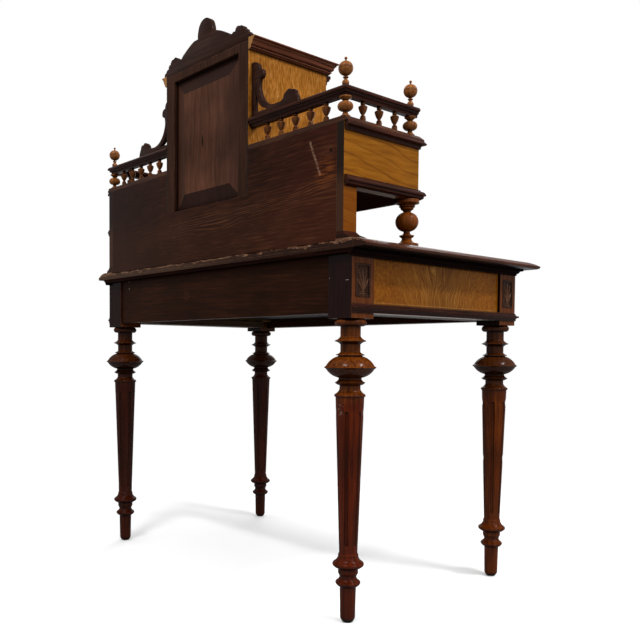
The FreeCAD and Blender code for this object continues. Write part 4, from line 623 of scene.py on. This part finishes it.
# A long slanting streak is rubbed through the stain near the left end.
down = add(tree, "Math", add(tree, "Math", STREAK_TOP[1], z_place, operation="SUBTRACT"),
           STREAK_TOP[1] - STREAK_FOOT[1], operation="DIVIDE")
line = add(tree, "Math", down, STREAK_FOOT[0] - STREAK_TOP[0], STREAK_TOP[0], operation="MULTIPLY_ADD")
aside = add(tree, "Math", add(tree, "Math", x_place, line, operation="SUBTRACT"), operation="ABSOLUTE")
dashes = add(tree, "TexNoise", {"Vector": place, "Scale": per_metre(3.846), "Detail": 2})
rubbed = add(tree, "Math", add(tree, "MapRange", aside, 0.001, 0.0042, 1.0, 0.0),
             add(tree, "Math", down, 0.5, 0.52, operation="COMPARE"), operation="MULTIPLY")
rubbed = add(tree, "Math", rubbed, add(tree, "MapRange", dashes, 0.42, 0.6, 0.15, 0.75),
             operation="MULTIPLY")
body = add(tree, "Mix", rubbed, body, "8f6f5a", data_type="RGBA")
near = add(tree, "MapRange", away_from(tree, *GLOW), 0.008, 0.036, 0.6, 0.0)
glow = add(tree, "Math", near, add(tree, "MapRange", height, 0.42, 0.62), operation="MULTIPLY")
body = add(tree, "Mix", glow, body, "8a4a1e", data_type="RGBA")
body = knot(tree, body, *BACK_KNOT, 0.005)
for x, z in NAIL_HOLES:
    hole = add(tree, "MapRange", away_from(tree, x, BOARD_BACK, z), 0.001, 0.0022, 0.9, 0.0)
    body = add(tree, "Mix", hole, body, "0b0504", data_type="RGBA")
surface(tree, shader, body, height, coat=0.0, roughness=0.5, specular=0.02, worn="7a5238", wear=0.5,
        relief=0.35)
dress(material, "back_board")


# ---- Panel behind the cupboard ----
# A fielded softwood panel with its grain upright, loose in a grooved frame. Its bevels above and
# below are painted darker than its field, a painted shade, and the bevel at its +X side is painted lit.

PANEL_TONES = ("362018", "4e3022", "603d2e", "75513e")
PANEL_KNOT = (0.014, 0.301, 1.046)
SOFTWOOD_DULL = {"coat": 0.0, "roughness": 0.5, "specular": 0.02, "relief": 0.3}
# Stained softwood without polish: a flat mid brown field, painted darker towards -X as a painted shade,
# and nearly black bevels above and below, a painted shade.
material, tree, shader = new_finish("stained_softwood_panel")
body, height = grain(tree, "z", PANEL_TONES, offset=0.9, bold=0.5, streak_mm=9, draw=0.06, sway_mm=6,
                     sway_length_mm=140, ring_mm=26, pith_mm=(390, 30), ring_share=-0.02, blotch=0.5)
upright = add(tree, "Math", part_of(tree, "Normal", "Z"), operation="ABSOLUTE")
sideways = part_of(tree, "Normal", "X")
# Painted shade: the field darkens towards its -X side.
shaded_side = add(tree, "MapRange", part_of(tree, "Object", "X"), -0.01, -0.1, 0.0, 0.35)
body = add(tree, "Mix", shaded_side, body, "2d201c", data_type="RGBA")
body = knot(tree, body, *PANEL_KNOT, 0.004, (1, 1, 0.25))
# Painted shade: the bevels above and below are painted nearly black.
level_bevel = add(tree, "MapRange", upright, 0.03, 0.12, 0.0, 0.8)
body = add(tree, "Mix", level_bevel, body, "1a100f", data_type="RGBA")
# Painted light: the bevel on the +X side is painted lit, orange towards its outer edge.
outward = add(tree, "MapRange", part_of(tree, "Object", "X"), 0.12, 0.136)
lit = add(tree, "ValToRGB", outward, stops=((0.0, "36231b"), (1.0, "73390f")))
right_bevel = add(tree, "MapRange", sideways, 0.03, 0.12, 0.0, 0.6)
body = add(tree, "Mix", right_bevel, body, lit, data_type="RGBA")
left_bevel = add(tree, "MapRange", sideways, -0.03, -0.12, 0.0, 0.4)
body = add(tree, "Mix", left_bevel, body, "3a2620", data_type="RGBA")
surface(tree, shader, body, height, worn="7a5238", grime_mm=18, **SOFTWOOD_DULL)
dress(material, "back_panel")

# The frame is the same wood, stained darker, and pale again where its arrises are rubbed.
dress(wood("stained_softwood_frame", "z", ("21120c", "2e1b13", "3b2419", "4f3426"),
           dict(offset=1.7, streak_mm=6, ring_share=0.04, blotch=0.3),
           dict(worn="8a6247", wear=0.6, **SOFTWOOD_DULL)), "back_frame")


# ---- Sides of the wings ----
# An L-shaped board on each side, veneered in golden walnut with quiet wavy lines. The thin edge at
# the back, where no veneer was laid, is stained black above and left brown below.

GOLDEN = ("613605", "7c4808", "8f5912", "a8732a")
EDGE_STAIN = "1d120c"
EDGE_BARE = "3d2519"
PILASTER_RED = "652b00"
WING_FLOOR = 0.885
# Golden walnut veneer under a thin polish: honey brown with fine dark lines, redder below the wing.
material, tree, shader = new_finish("polished_golden_veneer")
body, height = grain(tree, "y", GOLDEN, offset=0.6, bold=0.45, streak_mm=6, draw=0.05, sway_mm=8,
                     sway_length_mm=150, ring_mm=24, pith_mm=(490, 1110), lean=0.12, ring_share=-0.2,
                     thin=12.0, blotch=0.15)
z_place = part_of(tree, "Object", "Z")
below = add(tree, "MapRange", z_place, WING_FLOOR, WING_FLOOR - 0.015, 0.0, 0.6)
body = add(tree, "Mix", below, body, PILASTER_RED, data_type="RGBA")
down = add(tree, "MapRange", z_place, WING_FLOOR + 0.02, WING_FLOOR - 0.02)
edge = add(tree, "ValToRGB", down, stops=((0.0, EDGE_STAIN), (1.0, EDGE_BARE)))
body = add(tree, "Mix", facing(tree, "Y"), body, edge, data_type="RGBA")
surface(tree, shader, body, height, grime_mm=5, wear=0.2, worn="c39a66")
dress(material, "upper_side_left", "upper_side_right")


# ---- Cupboard and shelves ----
# The cupboard's sides and door panel are veneered in mottled walnut, the drawer fronts in straight
# walnut. The door frame, floors, shelf and tops are solid boards, polished where they show.

MOTTLED = ("5f350a", "885214", "9f6624", "c08f50")
MOTTLE = {"bold": 0.85, "streak_mm": 3, "draw": 0.15, "sway_mm": 2, "sway_length_mm": 45,
          "ring_share": -0.04, "blotch": 0.15}
# Mottled walnut veneer, polished: short light and dark golden patches that look ruffled.
material, tree, shader = new_finish("polished_mottled_veneer")
body, height = grain(tree, "z", MOTTLED, offset=0.8, **MOTTLE)
body = add(tree, "Mix", facing(tree, "Y"), body, EDGE_STAIN, data_type="RGBA")
body = add(tree, "Mix", facing(tree, "Z"), body, TOP_BROWN[1], data_type="RGBA")
surface(tree, shader, body, height, grime_mm=8, wear=0.2)
dress(material, "cabinet_side_left", "cabinet_side_right")
dress(wood("polished_mottled_panel", "z", MOTTLED, {"offset": 4.7, **MOTTLE}), "door_panel")

# Straight walnut, polished: golden drawer fronts, a redder door frame, and dark boards inside.
dress(wood("polished_walnut_front", "x", GOLDEN, dict(offset=1.9, sway_mm=6)), "drawer_front",
      "wing_drawer_left_front", "wing_drawer_right_front")
dress(wood("polished_walnut_door_frame", "z", ("4a260d", "6b3d18", "835227", "9c6b3c"), dict(offset=2.9)),
      "door_frame")
dress(wood("polished_walnut_shelves", "x", TOP_BROWN, dict(offset=3.3)), "cabinet_floor", "cabinet_shelf",
      "cabinet_top")

# The wings' rounded tops are stained brown. Their floors are dull with old dust, and shine nowhere.
dress(moulding("stained_walnut_wing_top", 2.2, ("2a1811", "3c2318", "4d2f20", "654230")), "wing_tops")
dress(wood("dark_walnut_wing_floor", "x", ("35201a", "442920", "55352a", "6e4939"), dict(offset=4.1),
           dict(coat=0.0, roughness=0.6, specular=0.0)), "wing_floors")


# ---- Crest and scroll brackets ----
# Sawn from walnut boards 9 and 12 mm thick and stained dark. Their arrises are eased all round,
# and the crest's front is sunk behind a plain raised edge. Behind they are left plain.

CARVED = ("1c0f0a", "281610", "341e16", "483023")
# Dark stained walnut with little polish left: nearly black brown, with lighter rubbed arrises.
carved_walnut = wood("carved_stained_walnut", "x", CARVED, dict(offset=2.3),
                     dict(coat=0.02, roughness=0.42, worn="7d5740", wear=0.5, relief=0.25))


def pick(piece, wanted):
    """Go to edit mode with only those faces selected that `wanted` says of their middle and normal."""
    alone(piece)
    bpy.ops.object.mode_set(mode="EDIT")
    bpy.ops.mesh.select_mode(type="FACE")
    bpy.ops.mesh.select_all(action="DESELECT")
    bpy.ops.object.mode_set(mode="OBJECT")
    for face in piece.data.polygons:
        face.select = wanted(face.center, face.normal)
    bpy.ops.object.mode_set(mode="EDIT")


def whole_copy(node):
    """A copy of a CAD node whose loose triangles are merged into one skin of flat faces."""
    piece = bpy.data.objects.new(f"{node}_copy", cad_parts[node].data.copy())
    bpy.context.scene.collection.objects.link(piece)
    pick(piece, lambda middle, normal: True)
    bpy.ops.mesh.remove_doubles(threshold=0.00001)
    bpy.ops.mesh.dissolve_limited(angle_limit=math.radians(1))
    bpy.ops.object.mode_set(mode="OBJECT")
    return piece


SAWN_EASE = 0.0012
SUNK_EDGE, SUNK_DEPTH = 0.004, 0.0016
for node in ("crest", "scroll_bracket_left", "scroll_bracket_right"):
    sawn = whole_copy(node)
    if node == "crest":
        pick(sawn, lambda middle, normal: normal.y < -0.9)
        bpy.ops.mesh.inset(thickness=SUNK_EDGE)
        bpy.ops.mesh.inset(thickness=SUNK_DEPTH / 2, depth=-SUNK_DEPTH)
        bpy.ops.object.mode_set(mode="OBJECT")
    applied(sawn, "BEVEL", width=SAWN_EASE, segments=2, limit_method="ANGLE", angle_limit=math.radians(50))
    finished(sawn, f"carved_{node}", carved_walnut, "root")
    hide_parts(node)


# ---- Carved tablets ----
# Six upright tablets of dark walnut, let into the outer faces of the posts. Each has a raised
# border and a palmette: five pointed leaves that fan up from a small collar, over a sunk ground.

TABLET_WIDTH, TABLET_HEIGHT, TABLET_THICKNESS = 0.042, 0.065, 0.004
TABLET_BORDER, TABLET_SINK = 0.004, 0.0024
ROOT_RISE = 0.007           # how far over the border the leaves spring
LEAVES = (                  # the lean of each in degrees, its length and its width
    (0, 0.045, 0.0056),
    (-15, 0.043, 0.005),
    (15, 0.043, 0.005),
    (-33, 0.030, 0.0046),
    (33, 0.030, 0.0046),
)
COLLARS = ((0.011, 0.001), (0.018, 0.005))      # the width of each, and its drop below the root
CARVER = {"roughness": 0.4, "grime": 0.95, "wear": 0.8, "relief": 0.2}
# Carved walnut, oiled over old stain: the ground stays black with dirt and painted shade, and the
# leaves are a lighter copy, rubbed to a lighter brown and painted lit, which picks them out.
tablet_walnut = wood("carved_walnut_tablets", "z", ("1d0f09", "2b1810", "3a2217", "523525"),
                     dict(offset=3.1), dict(grime_mm=4, worn="8d6347", **CARVER))
leaf_walnut_worn_and_lit = wood("carved_walnut_leaves_worn_and_lit", "z", ("382116", "4e3122", "644431", "826049"),
                   dict(offset=3.6), dict(grime_mm=2, worn="a57e5f", **CARVER))
tablet = shape("cube", size=1, location=(0, -TABLET_THICKNESS / 2, 0),
               scale=(TABLET_WIDTH, TABLET_THICKNESS, TABLET_HEIGHT))
tablet.data.materials.append(tablet_walnut)
pick(tablet, lambda middle, normal: normal.y < -0.9)
bpy.ops.mesh.inset(thickness=TABLET_BORDER)
bpy.ops.mesh.inset(thickness=TABLET_SINK / 3, depth=-TABLET_SINK)
bpy.ops.object.mode_set(mode="OBJECT")
ground = TABLET_SINK - TABLET_THICKNESS
root_z = -TABLET_HEIGHT / 2 + TABLET_BORDER + ROOT_RISE
carving = []
for turn, length, width in LEAVES:
    leaf = shape("uv_sphere", segments=8, ring_count=8, radius=0.5,
                 scale=(width, TABLET_SINK * 2, length))
    # The upper half is drawn to a point and the leaf is set on the root and leant over.
    pick(leaf, lambda middle, normal: middle.z > length * 0.3)
    bpy.ops.transform.resize(value=(0.7, 0.8, 1.12), center_override=(0, 0, length * 0.3))
    bpy.ops.object.mode_set(mode="OBJECT")
    leaf.data.transform(Matrix.Translation((0, ground, root_z))
                        @ Matrix.Rotation(math.radians(turn), 4, "Y")
                        @ Matrix.Translation((0, 0, length / 2)))
    carving.append(leaf)
for wide, drop in COLLARS:
    carving.append(shape("uv_sphere", segments=10, ring_count=6, radius=0.5,
                         location=(0, ground, root_z - drop), scale=(wide, TABLET_SINK * 1.8, 0.004)))
for piece in carving:
    piece.data.materials.append(leaf_walnut_worn_and_lit)
joined([tablet, *carving])

INSETS_LOW, INSETS_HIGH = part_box("carved_insets")
seat_x = INSETS_HIGH.x - TABLET_THICKNESS
seat_y = INSETS_LOW.y + TABLET_THICKNESS
middle_z = (INSETS_LOW.z + INSETS_HIGH.z) / 2
for side_name, side in (("left", -1), ("right", 1)):
    leg_x, back_y = (sum(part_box(f"leg_back_{side_name}"), Vector()) / 2).xy
    front_y = (sum(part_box(f"leg_front_{side_name}"), Vector()) / 2).y
    for face, place, turn in (
        ("back", (side * seat_x, back_y, middle_z), 90 * side),
        ("side", (side * seat_x, front_y, middle_z), 90 * side),
        ("front", (leg_x, seat_y, middle_z), 0),
    ):
        copied = bpy.data.objects.new("tablet", tablet.data.copy())
        bpy.context.scene.collection.objects.link(copied)
        copied.data.transform(Matrix.Translation(place) @ Matrix.Rotation(math.radians(turn), 4, "Z"))
        finished(copied, f"carved_tablet_{side_name}_{face}", None, "root")
        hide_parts("carved_insets")
bpy.data.objects.remove(tablet)


# ---- Columns, galleries and knobs ----
# Small turnings on dowels glued into the rails and tops: a ball column under each wing, spindles
# and posts with finials in the galleries, and the drawers' knobs.

TURNER = {"coat": 0.1, "blur": 0.2, "roughness": 0.28}
# French polished walnut: a clearer golden brown than the legs, glossy, and dark in every quirk.
dress(wood("french_polished_columns", "z", ("4a2108", "6b340d", "7f4415", "9a5d29"),
           dict(offset=0.4, sway_mm=1), dict(grime=0.9, grime_mm=9, **TURNER)),
      "ball_column_left", "ball_column_right")
dress(wood("french_polished_gallery", "z", ("45220c", "613517", "794722", "956038"),
           dict(offset=1.4, sway_mm=1), dict(grime=0.95, grime_mm=8, **TURNER)),
      "gallery_spindles", "drawer_knobs", "wing_drawer_left_knob", "wing_drawer_right_knob")

# The posts are paler, with two fine lines scored black round the ball of each finial.
FINIAL_GROOVES, GROOVE_HALF = (1.0972, 1.0948), 0.0005
material, tree, shader = new_finish("french_polished_posts")
body, height = grain(tree, "z", ("5a2f12", "77461f", "925b2e", "b17c4c"), offset=5.4, sway_mm=1)
for level in FINIAL_GROOVES:
    scored = add(tree, "Math", part_of(tree, "Object", "Z"), level, GROOVE_HALF, operation="COMPARE")
    scored = add(tree, "Math", scored, 0.85, operation="MULTIPLY")
    body = add(tree, "Mix", scored, body, "160a05", data_type="RGBA")
surface(tree, shader, body, height, grime=0.95, grime_mm=8, **TURNER)
dress(material, "gallery_posts")


# ---- Drawers and runners ----
# Drawer sides, backs and bottoms of thin oak, glued up and left bare, and softwood runners along
# the aprons. The oak's downward faces are painted nearly black, a painted shade, and the runners'
# a pale grey, a painted light from the floor.

OAK, OAK_UNDERSIDE_SHADE = ("7a5a36", "9a7748", "b08d5a", "c4a473"), "0e0b0a"
OAK_RINGS = {"ring_mm": 6, "ring_share": -0.1}
RUNNER_BROWN = ("3a2a20", "4d392b", "5f4939", "77604b")
# Bare planed oak: matt and straw brown, with close straight grain. The softwood is greyer.
for name, along, tones, rings, below, nodes in (
    ("planed_oak_boards", "x", OAK, OAK_RINGS, OAK_UNDERSIDE_SHADE, ("drawer_bottom", "drawer_back")),
    ("planed_oak_sides", "y", OAK, OAK_RINGS, OAK_UNDERSIDE_SHADE,
     ("drawer_sides", "wing_drawer_left_box", "wing_drawer_right_box")),
    ("planed_softwood_runners", "y", RUNNER_BROWN, {}, UNDERSIDE_FLOOR_LIGHT, ("drawer_runners",)),
):
    material, tree, shader = new_finish(name)
    body, height = grain(tree, along, tones, streak_mm=4, **rings)
    # Downward faces: painted shade on the oak, painted light from the floor on the runners.
    body = add(tree, "Mix", facing(tree, "Z", -1), body, below, data_type="RGBA")
    surface(tree, shader, body, height, coat=0.0, roughness=0.6)
    dress(material, *nodes)


# ---- Hinges, key and lock ----
# Two flag hinges of brass, screwed to the front of the door frame and of the cupboard's side. A
# brass key stands in a box lock of iron, which is screwed to the inside of the door.

# Brass under old lacquer: yellow and bright, with brown clouds of tarnish that are duller.
brass, tree, shader = new_finish("lacquered_brass")
place = add(tree, "TexCoord", give="Object")
tarnish = add(tree, "TexNoise", {"Vector": place, "Scale": per_metre(6.25), "Detail": 5})
body = add(tree, "ValToRGB", tarnish, stops=((0.35, "6f5124"), (0.55, "a9823c"), (0.7, "c6a056")))
tree.links.new(body, shader.inputs["Base Color"])
tree.links.new(add(tree, "MapRange", tarnish, 0.35, 0.65, 0.42, 0.24), shader.inputs["Roughness"])
shader.inputs["Metallic"].default_value = 1.0
dress(brass, "hinge_pin_halves", "hinge_door_halves", "door_key")

# Blackened iron: a dull charcoal skin of scale, with a little brown rust in it.
material, tree, shader = new_finish("blackened_iron")
place = add(tree, "TexCoord", give="Object")
scale = add(tree, "TexNoise", {"Vector": place, "Scale": per_metre(4.545), "Detail": 5})
body = add(tree, "ValToRGB", scale, stops=((0.4, "26221f"), (0.6, "3d3733"), (0.72, "54402f")))
tree.links.new(body, shader.inputs["Base Color"])
shader.inputs["Metallic"].default_value = 0.7
shader.inputs["Roughness"].default_value = 0.55
dress(material, "door_lock")


def cut(piece, cutter):
    """Take a shape away from a piece."""
    applied(piece, "BOOLEAN", operation="DIFFERENCE", solver="EXACT", object=cutter)
    bpy.data.objects.remove(cutter)


def disc(place, radius, thickness, stretch=1.0, sides=32):
    """A disc that faces forwards, drawn out upwards by `stretch`."""
    return shape("cylinder", vertices=sides, radius=radius, depth=thickness, location=place,
                 rotation=(math.radians(90), 0, 0), scale=(1, stretch, 1))


# Oval keyhole plates on the door and the desk drawer, with their edges eased. The key fills the
# door's hole. The drawer's is open, and has the slot for the key's bit below it.
PLATE_WIDTH, PLATE_THICKNESS, PLATE_STRETCH = 0.013, 0.0008, 1.7
SHANK_HOLE, OPEN_HOLE = 0.0033, 0.0021
BIT_SLOT, BIT_STRETCH, BIT_DROP = 0.001, 3.4, 0.003
THROUGH = 0.01
KEY_LOW, KEY_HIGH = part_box("door_key")
KEY_MIDDLE = (KEY_LOW + KEY_HIGH) / 2
DOOR_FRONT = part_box("door_frame")[0].y
DRAWER_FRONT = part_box("drawer_front")[0].y
DRAWER_KEYHOLE_Z = 0.694
for name, x, front, z, hole, body in (
    ("door_keyhole_plate", KEY_MIDDLE.x, DOOR_FRONT, KEY_MIDDLE.z, SHANK_HOLE, "cabinet_door"),
    ("drawer_keyhole_plate", 0.0, DRAWER_FRONT, DRAWER_KEYHOLE_Z, OPEN_HOLE, "desk_drawer"),
):
    plate = disc((x, front - PLATE_THICKNESS / 2, z), PLATE_WIDTH / 2, PLATE_THICKNESS, PLATE_STRETCH)
    cut(plate, disc((x, front, z), hole, THROUGH))
    if hole == OPEN_HOLE:
        cut(plate, disc((x, front, z - BIT_DROP), BIT_SLOT, THROUGH, BIT_STRETCH))
    applied(plate, "BEVEL", width=0.0002, segments=2, limit_method="ANGLE", angle_limit=math.radians(50))
    finished(plate, name, brass, body)

# Slotted brass screws, two in each leaf of the hinges, each left at the turn where it was tight.
SCREW_RADIUS, SCREW_STAND, SLOT_WIDTH = 0.0019, 0.0004, 0.0006
LEAF_FRONT = DOOR_FRONT - 0.001
HINGE_AXIS_X, HINGE_LEAF_MIDDLE = -0.146, 0.0075
HINGE_RISE = 0.243          # how far the upper hinge is over the lower one
for name, body, side, leaf_foot, leaf_height in (
    ("hinge_screws_fixed", "root", -1, 0.840, 0.023),
    ("hinge_screws_door", "cabinet_door", 1, 0.8632, 0.0228),
):
    x = HINGE_AXIS_X + side * HINGE_LEAF_MIDDLE
    screws = []
    for rise, share, turn in ((0, 0.25, 25), (0, 0.75, 75), (HINGE_RISE, 0.25, 125),
                              (HINGE_RISE, 0.75, 175)):
        z = leaf_foot + rise + leaf_height * share
        screw = disc((x, LEAF_FRONT - SCREW_STAND / 2, z), SCREW_RADIUS, SCREW_STAND, sides=20)
        cut(screw, shape("cube", size=1, location=(x, LEAF_FRONT - SCREW_STAND, z),
                         rotation=(0, math.radians(turn), 0), scale=(0.01, SCREW_STAND, SLOT_WIDTH)))
        screws.append(screw)
    finished(joined(screws), name, brass, body)


# ---- Room ----
# A pale floor that fades to white away from the desk, two lamps overhead, two large soft windows
# and a dim sky. The white behind the desk is seen straight and in reflections, and lights nothing.

FLOOR_REACH = 14.0
FADE_START, FADE_END = 0.75, 1.5
PAPER_SEEN, PAPER_LIGHTING = "fafafa", "6c6c6c"
floor = shape("circle", vertices=96, radius=FLOOR_REACH, fill_type="NGON")
floor.name = "floor"
# White paper without any gloss: it takes a soft shadow and shows nothing of its own.
material, tree, shader = new_finish("white_paper")
shader.inputs["Roughness"].default_value = 0.9
shader.inputs["Specular IOR Level"].default_value = 0.1


def seen_ray(tree):
    """1 for what the camera sees, straight or in a reflection, and 0 for what only lights."""
    rays = add(tree, "LightPath").node.outputs
    seen = add(tree, "Math", rays["Is Camera Ray"], rays["Is Glossy Ray"], operation="MAXIMUM")
    return add(tree, "Math", seen, rays["Is Transmission Ray"], operation="MAXIMUM")


# What the floor throws back up at the desk is the light of a grey floor, so it isn't lit from below.
paper = add(tree, "Mix", seen_ray(tree), PAPER_LIGHTING, PAPER_SEEN, data_type="RGBA")
tree.links.new(paper, shader.inputs["Base Color"])
away = add(tree, "VectorMath", add(tree, "TexCoord", give="Object"), operation="LENGTH")
white = add(tree, "Emission", {"Color": "ffffff", "Strength": 1.0})
share = add(tree, "Math", seen_ray(tree), add(tree, "MapRange", away, FADE_START, FADE_END),
            operation="MULTIPLY")
both = add(tree, "MixShader", share, shader.outputs[0], white)
output = next(node for node in tree.nodes if node.type == "OUTPUT_MATERIAL")
tree.links.new(both, output.inputs["Surface"])
floor.data.materials.append(material)

SKY_LOW, SKY_HIGH = 0.58, 1.05      # at the horizon and overhead
world = bpy.data.worlds.new("studio")
bpy.context.scene.world = world
world.use_nodes = True
tree = world.node_tree
tree.nodes.clear()
up = add(tree, "MapRange", part_of(tree, "Generated", "Z"), 0.0, 1.0, SKY_LOW, SKY_HIGH)
strength = add(tree, "Mix", seen_ray(tree), up, 1.0)
sky = add(tree, "Background", {"Color": "ffffff", "Strength": strength})
add(tree, "OutputWorld", {"Surface": sky})


def softbox(name, place, towards, width, height, power):
    """A lamp behind a diffuser."""
    lamp = bpy.data.lights.new(name, "AREA")
    lamp.shape = "RECTANGLE"
    lamp.size, lamp.size_y, lamp.energy = width, height, power
    holder = bpy.data.objects.new(name, lamp)
    bpy.context.scene.collection.objects.link(holder)
    way = Vector(place) - Vector(towards)
    holder.matrix_world = Matrix.Translation(place) @ way.to_track_quat("Z", "Y").to_matrix().to_4x4()


MIDDLE = (0, 0, 0.7)
softbox("lamp_overhead_back", (-0.6, 1.7, 3.0), MIDDLE, 0.6, 0.2, 39)
softbox("lamp_overhead_side", (-2.0, -0.7, 2.9), MIDDLE, 0.6, 0.2, 44)
softbox("window", (-3.4, 0.2, 1.9), MIDDLE, 1.8, 2.2, 30)
softbox("window_front", (2.4, -3.0, 2.0), MIDDLE, 2.0, 2.0, 40)


# ---- Camera ----
# It stands low, behind the desk's left side, with a slightly long lens. The lens is shifted up and
# aside instead of turned, so that the uprights stay nearly parallel. The frame is square.

STAND = (-1.4994, 1.3929, 0.5453)
HEADING, PITCH, ROLL = 229.3186, -2.429, 0.361          # in degrees
FOCAL_MM, FILM_MM = 43.2765, 36.0
SHIFT_RIGHT, SHIFT_UP = 0.0822, 0.1006                  # in widths of the film
lens = bpy.data.cameras.new("camera")
lens.sensor_width, lens.lens = FILM_MM, FOCAL_MM
lens.shift_x, lens.shift_y = SHIFT_RIGHT, SHIFT_UP
camera = bpy.data.objects.new("camera", lens)
bpy.context.scene.collection.objects.link(camera)
camera.matrix_world = (
    Matrix.Translation(STAND)
    @ Matrix.Rotation(math.radians(HEADING), 4, "Z")
    @ Matrix.Rotation(math.radians(90 + PITCH), 4, "X")
    @ Matrix.Rotation(math.radians(ROLL), 4, "Z")
)
bpy.context.scene.camera = camera
bpy.context.scene.view_settings.view_transform = "Standard"
